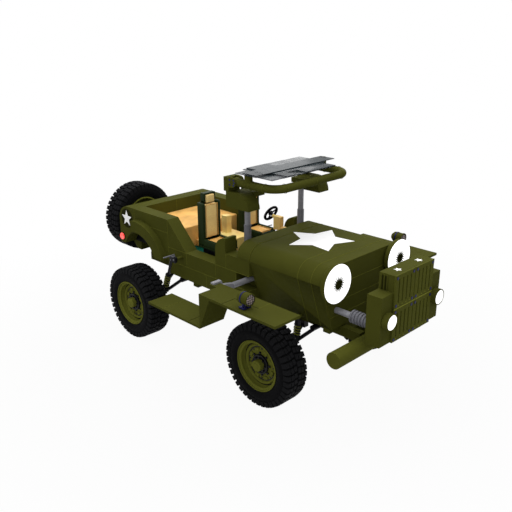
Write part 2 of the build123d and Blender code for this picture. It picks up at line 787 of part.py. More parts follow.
save("side_wall_left", side_wall())
save("side_wall_right", other_side(side_wall()))
save("rear_wall", rear_wall())
save("floor", floor())
save("cowl", cowl())
save("bonnet", bonnet())
save("engine_bay", bay_sides(), bay_front())
save("engine", engine())
save("chassis", chassis())
save("bumper", bumper())
save("hub_carriers", *both(carrier(front_axle_y)), *both(carrier(rear_axle_y) + knuckle(rear_axle_y)))
save("suspension_arms", *both(front_arm()), *both(rear_arm()), *both(lower_arm(front_axle_y)),
     *both(lower_arm(rear_axle_y)))
save("coil_overs", *both(front_coil_over()), *both(rear_coil_over()))
save("knuckle_left", knuckle(front_axle_y))
save("knuckle_right", other_side(knuckle(front_axle_y)))
for side, letter in ((-1, "right"), (1, "left")):
    for y, place in ((front_axle_y, "front"), (rear_axle_y, "rear")):
        seat = Pos(side * tyre_x, y, hub_z) * Rot(0, 90 * side, 0)
        save(f"tyre_{place}_{letter}", seat * tyre())
        save(f"rim_{place}_{letter}", seat * rim())
save("wing_left", wing())
save("wing_right", other_side(wing()))
save("side_ram_rod_left", side_ram_rod())
save("side_ram_rod_right", other_side(side_ram_rod()))
save("side_ram_tubes", *both(side_ram_tube()))
save("grille_block", grille_block())
save("grille_panels", *grille_panels())
save("marker_lamps", *marker_lamps())
save("bellows", *bellows())
save("front_ram_rods", *front_ram_rods())
save("headlamps", *headlamps())
save("post_barrels", *post_barrels())
save("post_rods", *post_rods())
save("lift_head", *both(lift_head()))
save("screen_frame", screen_frame())
save("screen_glass", *screen_glass())
save("seat_pads", *seat_pads(1), *seat_pads(-1))
save("seat_shells", seat_shell(1), seat_shell(-1), seat_slide(1), seat_slide(-1))
save("rear_deck", rear_deck(), step())
save("console", console())
save("dash", dash(), steering_column())
save("steering_wheel", steering_wheel())
save("fender_lamp_left", fender_lamp(1))
save("fender_lamp_right", fender_lamp(-1))
save("tail_lamps", *tail_lamps())
save("spare_carrier", spare_carrier())
spare_seat = Pos(spare_x, spare_y, spare_z) * Rot(-90, 0, 0)
save("spare_tyre", spare_seat * tyre())
save("spare_rim", spare_seat * rim())
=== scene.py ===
"""Finish of a light army 4x4 car whose grille, wings and windscreen stand out on rams.

Metres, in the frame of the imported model: +Z up, the car faces -Y, its left side is +X.
"""
import math

import bmesh
import bpy
from bpy.props import FloatProperty, FloatVectorProperty, IntProperty, PointerProperty
from mathutils import Matrix, Vector


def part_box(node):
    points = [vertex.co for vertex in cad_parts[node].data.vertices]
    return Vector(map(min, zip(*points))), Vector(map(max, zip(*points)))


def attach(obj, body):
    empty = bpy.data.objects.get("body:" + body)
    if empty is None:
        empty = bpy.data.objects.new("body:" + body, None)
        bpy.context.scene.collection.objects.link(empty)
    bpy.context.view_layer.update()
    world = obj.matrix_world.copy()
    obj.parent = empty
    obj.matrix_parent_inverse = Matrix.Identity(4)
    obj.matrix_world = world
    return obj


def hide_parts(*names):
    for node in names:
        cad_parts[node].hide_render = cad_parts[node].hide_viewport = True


bl_info = {
    "name": "Army 4x4 Car",
    "version": (1, 0, 0),
    "blender": (4, 5, 0),
    "location": "View3D > Sidebar > Army Car",
    "description": "Finishes and detailed pieces for a light army 4x4 car",
    "category": "Object",
}

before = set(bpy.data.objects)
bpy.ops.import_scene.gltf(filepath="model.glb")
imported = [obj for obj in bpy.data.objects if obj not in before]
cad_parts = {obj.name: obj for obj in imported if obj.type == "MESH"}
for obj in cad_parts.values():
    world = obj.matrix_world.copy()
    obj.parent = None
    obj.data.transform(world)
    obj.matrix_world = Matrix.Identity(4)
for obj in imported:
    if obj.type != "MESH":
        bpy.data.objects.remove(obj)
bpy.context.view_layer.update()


def spun(axis, degrees):
    return Matrix.Rotation(math.radians(degrees), 4, axis)


def at(x, y, z):
    return Matrix.Translation((x, y, z))


HERE = Matrix.Identity(4)
MIRROR = Matrix.Scale(-1, 4, (1, 0, 0))
TO_X = spun("Y", 90)            # turns +Z to +X
TO_FRONT = spun("X", 90)        # turns +Z to -Y
TO_REAR = spun("X", -90)        # turns +Z to +Y
SIDES = ((1, "left"), (-1, "right"))


def both_sides(*places):
    return [side @ place for place in places or (HERE,) for side in (HERE, MIRROR)]


# ---------------------------------------------------------------- settings
def tint(name, description, *default):
    return FloatVectorProperty(name=name, description=description, subtype="COLOR", size=3,
                               min=0, max=1, default=default)


def length(name, description, default, least=0.0):
    return FloatProperty(name=name, description=description, unit="LENGTH", min=least,
                         default=default)


def angle(name, description, degrees):
    return FloatProperty(name=name, description=description, subtype="ANGLE",
                         default=math.radians(degrees))


def power(name, description, watts):
    return FloatProperty(name=name, description=description, unit="POWER", min=0,
                         default=watts)


class CarColours(bpy.types.PropertyGroup):
    """Colours of the finishes, as linear light."""

    olive: tint("Olive", "Main paint", 0.066, 0.069, 0.0105)
    olive_dark: tint("Dark Olive", "Paint of grille slats and wheels", 0.062, 0.065, 0.0100)
    beige: tint("Beige", "Rear deck and seat cushions", 0.80, 0.45, 0.13)
    # the pale beige and pale hide are the beige lightened for upright faces: painted light that
    # makes them as bright as the lit tops
    beige_lit_upright: tint("Pale Beige", "Dash and console", 1.0, 0.66, 0.23)
    hide_pale: tint("Pale Hide", "Back pads and headrests", 1.0, 0.71, 0.28)
    bolster: tint("Bolster Green", "Seat bolsters", 0.013, 0.025, 0.006)
    teal: tint("Teal", "Cabin floor", 0.002, 0.070, 0.048)
    rubber: tint("Rubber", "Tyres", 0.0042, 0.0042, 0.0046)
    grip: tint("Grip", "Steering wheel and arch liners", 0.0025, 0.0025, 0.003)
    black: tint("Black", "Suspension and small fittings", 0.006, 0.006, 0.008)
    bolt: tint("Bolt", "Blued bolts", 0.010, 0.011, 0.070)
    iron: tint("Iron", "Engine", 0.055, 0.055, 0.055)
    steel: tint("Steel", "Ram rods", 0.30, 0.30, 0.33)
    ram: tint("Ram Grey", "Ram barrels and gaiters", 0.17, 0.17, 0.19)
    pane: tint("Pane", "Tint of the screen plates", 0.024, 0.032, 0.036)
    star: tint("Star", "Painted stars", 1.0, 1.0, 1.0)


class CarSizes(bpy.types.PropertyGroup):
    """Sizes of the details."""

    panel_edge: length("Panel Edge", "Radius on the edges of sheet panels", 0.005)
    seam: length("Seam", "Radius of the sealer bead on a panel joint", 0.0026, 0.0005)
    star_reach: length("Star Reach", "From the middle of the bonnet star to a tip", 0.405, 0.05)
    tread_count: IntProperty(name="Tread Blocks", description="Blocks round one row of the tread",
                             min=8, default=40)
    tread_depth: length("Tread Depth", "Height of the tread blocks", 0.021)
    spring_wire: length("Spring Wire", "Radius of the spring wire", 0.0072, 0.001)
    spring_turns: IntProperty(name="Spring Turns", description="Turns of one rear spring",
                              min=2, default=5)
    bolt_radius: length("Bolt Radius", "Radius of the grille bolts", 0.0165, 0.001)
    spokes: IntProperty(name="Lamp Spikes", description="Spikes round a headlamp's dark centre",
                        min=6, default=18)


class CarStage(bpy.types.PropertyGroup):
    """Camera and studio."""

    place: FloatVectorProperty(name="Camera Place", description="Where the camera stands",
                               subtype="XYZ", unit="LENGTH", size=3,
                               default=(-5.447, -5.544, 4.030))
    azimuth: angle("Azimuth", "Turn of the camera round the car", -44.685)
    elevation: angle("Elevation", "Height angle of the camera", 19.971)
    roll: angle("Roll", "Turn of the camera about its line of sight", -0.264)
    lens: FloatProperty(name="Lens", description="Focal length in millimetres", unit="CAMERA",
                        min=1, default=45.21)
    key_power: power("Key Power", "Power of the overhead softbox", 600.0)
    fill_power: power("Fill Power", "Power of each low softbox", 60.0)


# ---------------------------------------------------------------- materials
class Nodes:
    """Short calls for the nodes of one material or world."""

    def __init__(self, owner):
        owner.use_nodes = True
        self.tree = owner.node_tree

    def set(self, socket, value):
        """Links an output to the socket, or gives the socket a plain value."""
        if hasattr(value, "is_output"):
            self.tree.links.new(value, socket)
        else:
            socket.default_value = value

    def node(self, kind, inputs=None, **settings):
        made = self.tree.nodes.new(kind)
        for key, value in settings.items():
            setattr(made, key, value)
        for socket, value in (inputs or {}).items():
            self.set(made.inputs[socket], value)
        return made

    def math(self, operation, *values, clamp=False):
        return self.node("ShaderNodeMath", dict(enumerate(values)), operation=operation,
                         use_clamp=clamp).outputs[0]

    def spread(self, source, low, high, to_low=0.0, to_high=1.0):
        """Maps a range of one value to another, clamped."""
        inputs = {"Value": source, "From Min": low, "From Max": high, "To Min": to_low,
                  "To Max": to_high}
        return self.node("ShaderNodeMapRange", inputs).outputs["Result"]

    def seen_white(self):
        """Factor that is 1 for the camera, for mirror rays and for rays through glass."""
        path = self.node("ShaderNodeLightPath").outputs
        seen = self.math("ADD", path["Is Camera Ray"], path["Is Glossy Ray"])
        return self.math("ADD", seen, path["Is Transmission Ray"], clamp=True)

    def blend(self, factor, first, second, output):
        """Blends two shaders by the factor and makes them the result."""
        mixed = self.node("ShaderNodeMixShader", {0: factor, 1: first, 2: second})
        self.set(self.tree.nodes[output].inputs["Surface"], mixed.outputs[0])


class Shader(Nodes):
    """One Principled material with the patterns that the finishes share."""

    def __init__(self, name, **sockets):
        self.material = bpy.data.materials.new(name)
        super().__init__(self.material)
        self.surface = self.tree.nodes["Principled BSDF"]
        for socket, value in sockets.items():
            self.surface.inputs[socket.replace("_", " ")].default_value = value
        self.place = self.node("ShaderNodeTexCoord").outputs["Object"]

    def noise(self, scale, detail, stretch=None):
        """Noise over object coordinates; stretch squeezes it along each axis."""
        place = self.place
        if stretch:
            place = self.node("ShaderNodeMapping", {"Vector": place, "Scale": stretch}).outputs[0]
        inputs = {"Vector": place, "Scale": scale, "Detail": detail}
        return self.node("ShaderNodeTexNoise", inputs).outputs["Fac"]

    def cells(self, scale, feature="F1"):
        """Distance inside cells that are spread over object coordinates."""
        return self.node("ShaderNodeTexVoronoi", {"Vector": self.place, "Scale": scale},
                         feature=feature).outputs["Distance"]

    def mix(self, factor, first, second):
        """Mixes two colours, each a socket or a plain colour."""
        first, second = (tone if hasattr(tone, "is_output") else (*tone, 1.0)
                         for tone in (first, second))
        return self.node("ShaderNodeMix", {"Factor": factor, 6: first, 7: second},
                         data_type="RGBA").outputs[2]

    def upward(self):
        """How far a surface faces up, from 0 to 1."""
        normal = self.node("ShaderNodeNewGeometry").outputs["Normal"]
        split = self.node("ShaderNodeSeparateXYZ", {0: normal})
        return self.spread(split.outputs["Z"], 0.2, 1.0)

    def glow(self, tone):
        self.set(self.surface.inputs["Emission Color"], tone)

    def finish(self, tone, height, strength, distance=0.002, rough=None, limits=(0.0, 1.0)):
        """Sets the colour, the bump and a roughness between two limits."""
        bump = self.node("ShaderNodeBump", {"Strength": strength, "Distance": distance,
                                            "Height": height})
        self.set(self.surface.inputs["Base Color"], tone)
        self.set(self.surface.inputs["Normal"], bump.outputs["Normal"])
        if rough:
            self.set(self.surface.inputs["Roughness"], self.spread(rough, 0.3, 0.7, *limits))
        return self.material


DUST = (0.16, 0.15, 0.06)


def shade(colour, factor):
    return tuple(min(1.0, channel * factor) for channel in colour)


def paint(name, colour, dust=0.05, glow=0.0):
    """Matt army paint: cloudy tone, a thin film of dust on top faces and fine scuffs."""
    s = Shader(name, Specular_IOR_Level=0.02, Emission_Strength=glow)
    fine = s.noise(38.0, 6.0)
    base = s.mix(s.spread(s.noise(2.2, 3.0), 0.35, 0.65), shade(colour, 0.93),
                 shade(colour, 1.07))
    film = s.math("MULTIPLY", s.upward(), s.spread(fine, 0.35, 0.75, 0.0, dust))
    scuff = s.spread(s.noise(90.0, 2.0, (1.0, 0.25, 1.0)), 0.70, 0.78, 0.0, 0.25)
    tone = s.mix(scuff, s.mix(film, base, DUST), shade(colour, 1.6))
    # a glow gives the paint a light of its own: painted brightness for parts that are no lamps
    if glow:
        s.glow(tone)
    return s.finish(tone, s.noise(260.0, 2.0), 0.05, rough=fine, limits=(0.58, 0.80))


def rubber(name, colour):
    """Tyre rubber, greyed by dust in fine grain."""
    s = Shader(name, Specular_IOR_Level=0.03)
    grain = s.noise(55.0, 6.0)
    tone = s.mix(s.spread(grain, 0.4, 0.8, 0.0, 0.5), colour, shade(colour, 1.9))
    return s.finish(tone, s.noise(420.0, 3.0), 0.18, 0.001, grain, (0.55, 0.80))


def ground_steel(name, colour, along):
    """Ground metal with fine lines round the rod, along being the rod's axis."""
    s = Shader(name, Metallic=0.30, Specular_IOR_Level=0.3)
    lines = s.noise(60.0, 3.0, [6.0 if axis == along else 0.15 for axis in "XYZ"])
    tone = s.mix(s.spread(lines, 0.3, 0.7), shade(colour, 0.8), shade(colour, 1.2))
    return s.finish(tone, lines, 0.05, 0.001, lines, (0.28, 0.46))


def cast(name, colour, metallic=0.0, low=0.45, high=0.7):
    """Moulded or cast surface with a pebbled skin."""
    s = Shader(name, Metallic=metallic, Specular_IOR_Level=0.12)
    pebble = s.noise(120.0, 4.0)
    tone = s.mix(s.spread(s.noise(5.0, 2.0), 0.35, 0.65), shade(colour, 0.82),
                 shade(colour, 1.18))
    return s.finish(tone, pebble, 0.12, 0.001, pebble, (low, high))


def hide(name, colour):
    """Seat cover with a small leather grain and soft sheen."""
    s = Shader(name, Specular_IOR_Level=0.08)
    # the grain's creases are darkened to 0.72: painted shade in the creases, besides their bump
    crease = s.spread(s.cells(170.0, "DISTANCE_TO_EDGE"), 0.0, 0.12)
    patch = s.noise(7.0, 3.0)
    tone = s.mix(s.spread(patch, 0.35, 0.65), shade(colour, 0.90), shade(colour, 1.06))
    return s.finish(s.mix(crease, shade(colour, 0.72), tone), crease, 0.25, 0.001, patch,
                    (0.46, 0.62))


def clear_plate(name, colour):
    """Smoked clear plate, a little scratched, with a denser band behind the front row."""
    s = Shader(name, Specular_IOR_Level=0.02)
    split = s.node("ShaderNodeSeparateXYZ", {0: s.place}).outputs
    band = s.math("MULTIPLY", s.spread(split["Y"], -0.800, -0.792),
                  s.spread(s.math("ABSOLUTE", split["X"]), 0.540, 0.548, 1.0, 0.0))
    s.set(s.surface.inputs["Alpha"], s.spread(band, 0.0, 1.0, 0.76, 0.965))
    streak = s.noise(24.0, 5.0, (1.0, 0.2, 1.0))
    tone = s.mix(s.spread(streak, 0.35, 0.7), shade(colour, 0.92), shade(colour, 1.1))
    s.material.surface_render_method = "BLENDED"
    return s.finish(tone, s.noise(4.0, 2.0), 0.03, rough=streak, limits=(0.10, 0.26))


def lit(name, colour, strength, edge):
    """Lit lens that fades towards the edge colour in small cells."""
    s = Shader(name, Roughness=0.2, Emission_Strength=strength)
    cells = s.cells(60.0)
    tone = s.mix(s.spread(cells, 0.0, 0.9), colour, edge)
    s.glow(tone)
    return s.finish(tone, cells, 0.2, 0.001)


FINISHES = {}


def finish_of(name):
    """A finish by name, made on first use."""
    if name not in FINISHES:
        c = bpy.context.scene.car_colours
        # each finish: its maker, the material's name, the colour, and the maker's settings
        table = {
            "olive": (paint, "olive_paint", c.olive),
            "olive_dark": (paint, "olive_dark_paint", c.olive_dark),
            "bumper": (paint, "olive_light", shade(c.olive, 1.35), 0.02),
            # seam beads are olive lightened 1.9 times: a painted highlight along the panel joints
            # and the tube rings
            "seam": (paint, "olive_seam", shade(c.olive, 1.9), 0.02),
            # olive darkened to 0.30: painted shade in the wing joints' grooves and the grille's
            # side slots; plain dark paint on the lamp centres and star discs
            "seam_dark": (paint, "olive_joint", shade(c.olive, 0.30), 0.0),
            # olive lightened 3.2 times: a painted highlight on the grille's seam rail; the pale
            # studs share it
            "seam_light": (paint, "light_seam", shade(c.olive, 3.2), 0.0),
            # rim paint is dark olive lightened 2.3 times: painted light for the light the dished
            # rim catches
            "rim": (paint, "rim_paint", shade(c.olive_dark, 2.3), 0.02),
            "slat": (paint, "slat_paint", shade(c.olive_dark, 1.35), 0.02),
            "coil": (paint, "coil_paint", shade(c.olive, 2.0), 0.02),
            "teal": (paint, "teal_floor_paint", c.teal, 0.03),
            # the stars glow a little though they are only paint: a painted brightness
            "star": (paint, "star_paint", c.star, 0.0, 0.20),
            "beige": (cast, "beige_trim", c.beige),
            "beige_lit_upright": (cast, "pale_trim", c.beige_lit_upright),
            "black": (cast, "black_enamel", c.black, 0.0, 0.25, 0.5),
            "bolt": (cast, "blued_bolt", c.bolt, 0.3, 0.3, 0.45),
            "iron": (cast, "cast_iron", c.iron, 0.6, 0.5, 0.75),
            "ram": (cast, "ram_grey", c.ram, 0.2, 0.35, 0.5),
            "steel_x": (ground_steel, "ram_steel_x", c.steel, "X"),
            "steel_y": (ground_steel, "ram_steel_y", c.steel, "Y"),
            "steel_z": (ground_steel, "post_steel", shade(c.steel, 0.72), "Z"),
            "rubber": (rubber, "tyre_rubber", c.rubber),
            "tread": (rubber, "tread_rubber", shade(c.rubber, 2.2)),
            "grip": (rubber, "wheel_grip", c.grip),
            "gaiter": (rubber, "gaiter_rubber", shade(c.ram, 0.9)),
            "hide_beige": (hide, "beige_hide", shade(c.beige, 1.10)),
            "hide_pale": (hide, "pale_hide", c.hide_pale),
            "hide_green": (hide, "green_hide", c.bolster),
            "pane": (clear_plate, "screen_plate", c.pane),
            "white_lamp": (lit, "white_lens", (1.0, 1.0, 1.0), 1.1, (0.95, 0.95, 0.95)),
            "dim_lens": (lit, "dim_lens", (0.45, 0.36, 0.34), 0.25, (0.12, 0.10, 0.10)),
            "red_lamp": (lit, "red_lens", (1.0, 0.16, 0.14), 1.1, (0.8, 0.03, 0.02)),
        }
        maker, material, colour, *settings = table[name]
        FINISHES[name] = maker(material, tuple(colour), *settings)
    return FINISHES[name]


# ---------------------------------------------------------------- mesh helpers
def in_order(low, high):
    """Low and high corners put in order along each axis."""
    return Vector(map(min, low, high)), Vector(map(max, low, high))


def bevel(bm, edges, width, segments=2):
    if width and edges:
        bmesh.ops.bevel(bm, geom=list(edges), offset=width, offset_type="OFFSET",
                        segments=segments, profile=0.5, affect="EDGES", material=-1,
                        clamp_overlap=True)


def sharp_edges(bm, degrees=28.0):
    limit = math.radians(degrees)
    return [e for e in bm.edges if e.is_manifold and e.calc_face_angle(0.0) > limit]


def block(low, high, edge=0.003, segments=2):
    """Block between two corners, its edges rounded."""
    low, high = in_order(low, high)
    bm = bmesh.new()
    bmesh.ops.create_cube(bm, size=1.0)
    bmesh.ops.scale(bm, vec=high - low, verts=bm.verts)
    bmesh.ops.translate(bm, vec=(low + high) / 2, verts=bm.verts)
    bevel(bm, bm.edges, edge, segments)
    return bm


def turned(profile, sides=48):
    """Solid of revolution about Z from points (radius, height), closed into a loop."""
    bm = bmesh.new()
    points = [bm.verts.new((radius, 0.0, height)) for radius, height in profile]
    pairs = list(zip(points, points[1:]))
    if profile[0][0] > 0 and profile[-1][0] > 0:
        pairs.append((points[-1], points[0]))
    edges = [bm.edges.new(pair) for pair in pairs]
    bmesh.ops.spin(bm, geom=points + edges, cent=(0, 0, 0), axis=(0, 0, 1),
                   dvec=(0, 0, 0), angle=math.tau, steps=sides, use_merge=True)
    bmesh.ops.remove_doubles(bm, verts=bm.verts, dist=1e-6)
    bmesh.ops.recalc_face_normals(bm, faces=bm.faces)
    return bm


def drum(radius, height, edge=0.002, sides=32):
    """Short cylinder about Z, from 0 up to its height, with softened rims."""
    return turned([(0, 0), (radius - edge, 0), (radius, edge), (radius, height - edge),
                   (radius - edge, height), (0, height)], sides)


def ring(radius, wire, sides=48, wire_sides=12):
    """Torus about Z."""
    angles = (math.tau * i / wire_sides for i in range(wire_sides))
    return turned([(radius + wire * math.cos(a), wire * math.sin(a)) for a in angles], sides)


def star(reach, thickness, notch=0.42):
    """Five-pointed star about Z, its first point along +Y."""
    bm = bmesh.new()
    made = bmesh.ops.create_circle(bm, cap_ends=True, segments=10, radius=reach)
    for vertex in made["verts"][1::2]:
        vertex.co *= notch
    top = bmesh.ops.extrude_face_region(bm, geom=list(bm.faces))
    raised = [v for v in top["geom"] if isinstance(v, bmesh.types.BMVert)]
    bmesh.ops.translate(bm, vec=(0, 0, thickness), verts=raised)
    bmesh.ops.recalc_face_normals(bm, faces=bm.faces)
    return bm


def helix(radius, wire, height, turns, steps=20, wire_sides=8):
    """Coil spring about Z with both ends closed."""
    bm = bmesh.new()
    bmesh.ops.create_circle(bm, cap_ends=True, segments=wire_sides, radius=wire,
                            matrix=at(radius, 0, wire) @ TO_FRONT)
    count = turns * steps
    bmesh.ops.spin(bm, geom=[*bm.verts, *bm.edges, *bm.faces], cent=(0, 0, 0),
                   axis=(0, 0, 1), dvec=(0, 0, (height - 2 * wire) / count),
                   angle=math.tau * turns, steps=count)
    bmesh.ops.recalc_face_normals(bm, faces=bm.faces)
    return bm


def add(target, source, *places):
    """Joins a mesh to the target once for each place, and frees it."""
    mesh = bpy.data.meshes.new("joined")
    source.to_mesh(mesh)
    source.free()
    for place in places or (HERE,):
        placed = mesh.copy()
        placed.transform(place)
        if place.determinant() < 0:
            placed.flip_normals()
        target.from_mesh(placed)
        bpy.data.meshes.remove(placed)
    bpy.data.meshes.remove(mesh)


def joined(places, *sources):
    """One mesh of every source at every place."""
    bm = bmesh.new()
    for source in sources:
        add(bm, source, *places)
    return bm


def moved(bm, place):
    bmesh.ops.transform(bm, matrix=place, verts=bm.verts)
    return bm


def between(start, end):
    """Place that carries the Z axis from start towards end."""
    line = Vector(end) - Vector(start)
    return Matrix.Translation(start) @ line.to_track_quat("Z", "Y").to_matrix().to_4x4()


def rod(radius, start, end, edge=0.002, sides=24):
    """Round bar between two points."""
    reach = (Vector(end) - Vector(start)).length
    return moved(drum(radius, reach, edge, sides), between(start, end))


def beads(runs, radius):
    """Beads of sealer along runs of points, half sunk in the sheet below them."""
    return joined((), *(rod(radius, start, end, radius * 0.4, 8)
                        for points in runs for start, end in zip(points, points[1:])))


def baked(piece):
    """The piece's mesh with its modifiers applied."""
    bpy.context.view_layer.update()
    graph = bpy.context.evaluated_depsgraph_get()
    return bpy.data.meshes.new_from_object(piece.evaluated_get(graph))


def linked(name, data):
    """New object in the scene."""
    made = bpy.data.objects.new(name, data)
    bpy.context.scene.collection.objects.link(made)
    return made


def meshed(name, bm):
    """Turns the working mesh into a mesh of its own and frees it."""
    mesh = bpy.data.meshes.new(name)
    bm.to_mesh(mesh)
    bm.free()
    return mesh


def finish_piece(name, bm, body, finish, replaces=(), smooth=32.0, flat=False):
    """Makes the piece's object, shades it and ties it to its body.

    A flat piece is shaded by the size of its faces, so that its sheets stay plain.
    """
    mesh = meshed(name, bm)
    mesh.polygons.foreach_set("use_smooth", [True] * len(mesh.polygons))
    mesh.set_sharp_from_angle(angle=math.radians(smooth))
    mesh.materials.append(finish_of(finish))
    piece = linked(name, mesh)
    if flat:
        normals = piece.modifiers.new("normals", "WEIGHTED_NORMAL")
        normals.keep_sharp = True
        piece.data = baked(piece)
        piece.modifiers.clear()
        piece.data.name = name
        bpy.data.meshes.remove(mesh)
    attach(piece, body)
    if replaces:
        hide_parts(*replaces)
    return piece


def cad_copy(node):
    """Merged copy of a node's mesh with its flat faces made whole."""
    bm = bmesh.new()
    bm.from_mesh(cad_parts[node].data)
    bmesh.ops.remove_doubles(bm, verts=bm.verts, dist=2e-5)
    bmesh.ops.dissolve_limit(bm, angle_limit=math.radians(0.4), use_dissolve_boundaries=False,
                             verts=bm.verts, edges=bm.edges)
    return bm


def cad_finish(node, finish):
    """Gives a carried-over node its finish."""
    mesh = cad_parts[node].data
    mesh.materials.clear()
    mesh.materials.append(finish_of(finish))


def panel(node, body, finish="olive", edge=None):
    """A node as a sheet panel with rounded edges."""
    bm = cad_copy(node)
    bevel(bm, sharp_edges(bm),
          bpy.context.scene.car_sizes.panel_edge if edge is None else edge)
    return finish_piece(f"{node}_panel", bm, body, finish, [node], flat=True)


def puffed(low, high, rise):
    """Pad between two corners: a smaller block blown up as cloth and held at its edges."""
    low, high = in_order(low, high)
    inset = Vector((rise, rise, rise)) * 0.7
    low, high = low + inset, high - inset
    pad = linked("puffed", meshed("puffed", block(low, high, 0.012, 3)))
    remesh = pad.modifiers.new("remesh", "REMESH")
    remesh.mode = "VOXEL"
    remesh.voxel_size = 0.007
    settle(pad)
    blow_up(pad, low, high, rise)
    smooth = pad.modifiers.new("smooth", "SUBSURF")
    smooth.levels = smooth.render_levels = 1
    mesh = settle(pad)
    bm = bmesh.new()
    bm.from_mesh(mesh)
    bpy.data.objects.remove(pad)
    bpy.data.meshes.remove(mesh)
    return bm


def settle(pad):
    """Applies the modifiers of the pad to its mesh."""
    mesh = baked(pad)
    pad.modifiers.clear()
    pad.data = mesh
    return mesh


def blow_up(pad, low, high, rise):
    """Cloth under pressure for twenty frames; no point moves by more than the rise."""
    rest = [vertex.co.copy() for vertex in pad.data.vertices]
    held = pad.vertex_groups.new(name="held")
    for vertex in pad.data.vertices:
        near = sum(min(value - lo, hi - value) < 0.010
                   for value, lo, hi in zip(vertex.co, low, high))
        if near > 1:
            held.add([vertex.index], 1.0, "REPLACE")
    cloth = pad.modifiers.new("cloth", "CLOTH")
    cloth.settings.vertex_group_mass = "held"
    cloth.settings.use_pressure = True
    cloth.settings.uniform_pressure_force = 4.0
    cloth.settings.effector_weights.gravity = 0.0
    cloth.settings.quality = 5
    cloth.collision_settings.use_collision = False
    for number in range(1, 21):
        bpy.context.scene.frame_set(number)
    for vertex, before in zip(settle(pad).vertices, rest):
        move = vertex.co - before
        if move.length > rise:
            vertex.co = before + move * (rise / move.length)
    bpy.context.scene.frame_set(1)


def on_side(side, *runs):
    """Runs of points (x, y, z) taken to the left (1) or the right (-1)."""
    return [[(side * x, y, z) for x, y, z in run] for run in runs]


# ---------------------------------------------------------------- pieces
class CAR_OT_stage(bpy.types.Operator):
    """Set up the floor, the softboxes, the world and the camera"""

    bl_idname = "car.stage"
    bl_label = "Studio"

    def execute(self, context):
        stage = context.scene.car_stage
        self.floor()
        self.world()
        key, fill = stage.key_power, stage.fill_power
        self.softbox("overhead_softbox", (0.5, 0.5, 7.0), (0, 0, 0.8), 12.0, key)
        self.softbox("front_softbox", (-5.5, -6.5, 4.5), (0, -0.5, 0.8), 4.0, fill)
        self.softbox("rear_softbox", (5.0, 6.0, 4.0), (0, 0.5, 0.8), 4.0, fill)
        self.camera(stage)
        return {"FINISHED"}

    def floor(self):
        """Wide white floor that keeps the shadow and fades to plain white away from the car."""
        bm = bmesh.new()
        bmesh.ops.create_grid(bm, x_segments=1, y_segments=1, size=60.0)
        plane = linked("studio_floor", meshed("studio_floor", bm))
        s = Shader("studio_floor", Roughness=0.9, Base_Color=(0.55, 0.55, 0.55, 1.0))
        glow = s.node("ShaderNodeEmission", {"Color": (1.0, 1.0, 1.0, 1.0), "Strength": 1.0})
        distance = s.node("ShaderNodeVectorMath", {0: s.place}, operation="LENGTH")
        fade = s.spread(distance.outputs["Value"], 2.5, 5.5, 0.95, 1.0)
        s.blend(s.math("MULTIPLY", s.seen_white(), fade), s.surface.outputs[0],
                glow.outputs[0], "Material Output")
        plane.data.materials.append(s.material)

    def world(self):
        """Plain white to look at, and a lower even light on the car."""
        world = bpy.data.worlds.new("studio_world")
        bpy.context.scene.world = world
        n = Nodes(world)
        ambient, white = n.tree.nodes["Background"], n.node("ShaderNodeBackground")
        for light, strength in ((ambient, 0.42), (white, 1.0)):
            light.inputs["Color"].default_value = (1.0, 1.0, 1.0, 1.0)
            light.inputs["Strength"].default_value = strength
        n.blend(n.seen_white(), ambient.outputs[0], white.outputs[0], "World Output")

    def softbox(self, name, place, target, size, power):
        light = bpy.data.lights.new(name, "AREA")
        light.shape = "SQUARE"
        light.size = size
        light.energy = power
        aim = (Vector(target) - Vector(place)).to_track_quat("-Z", "Y")
        linked(name, light).matrix_world = Matrix.Translation(place) @ aim.to_matrix().to_4x4()

    def camera(self, stage):
        lens = bpy.data.cameras.new("camera")
        lens.sensor_fit = "HORIZONTAL"
        lens.sensor_width = 36.0
        lens.lens = stage.lens
        lens.clip_end = 200.0
        camera = linked("camera", lens)
        tilt = math.radians(90) - stage.elevation
        camera.matrix_world = (
            Matrix.Translation(stage.place) @ Matrix.Rotation(stage.azimuth, 4, "Z")
            @ Matrix.Rotation(tilt, 4, "X") @ Matrix.Rotation(stage.roll, 4, "Z"))
        bpy.context.scene.camera = camera


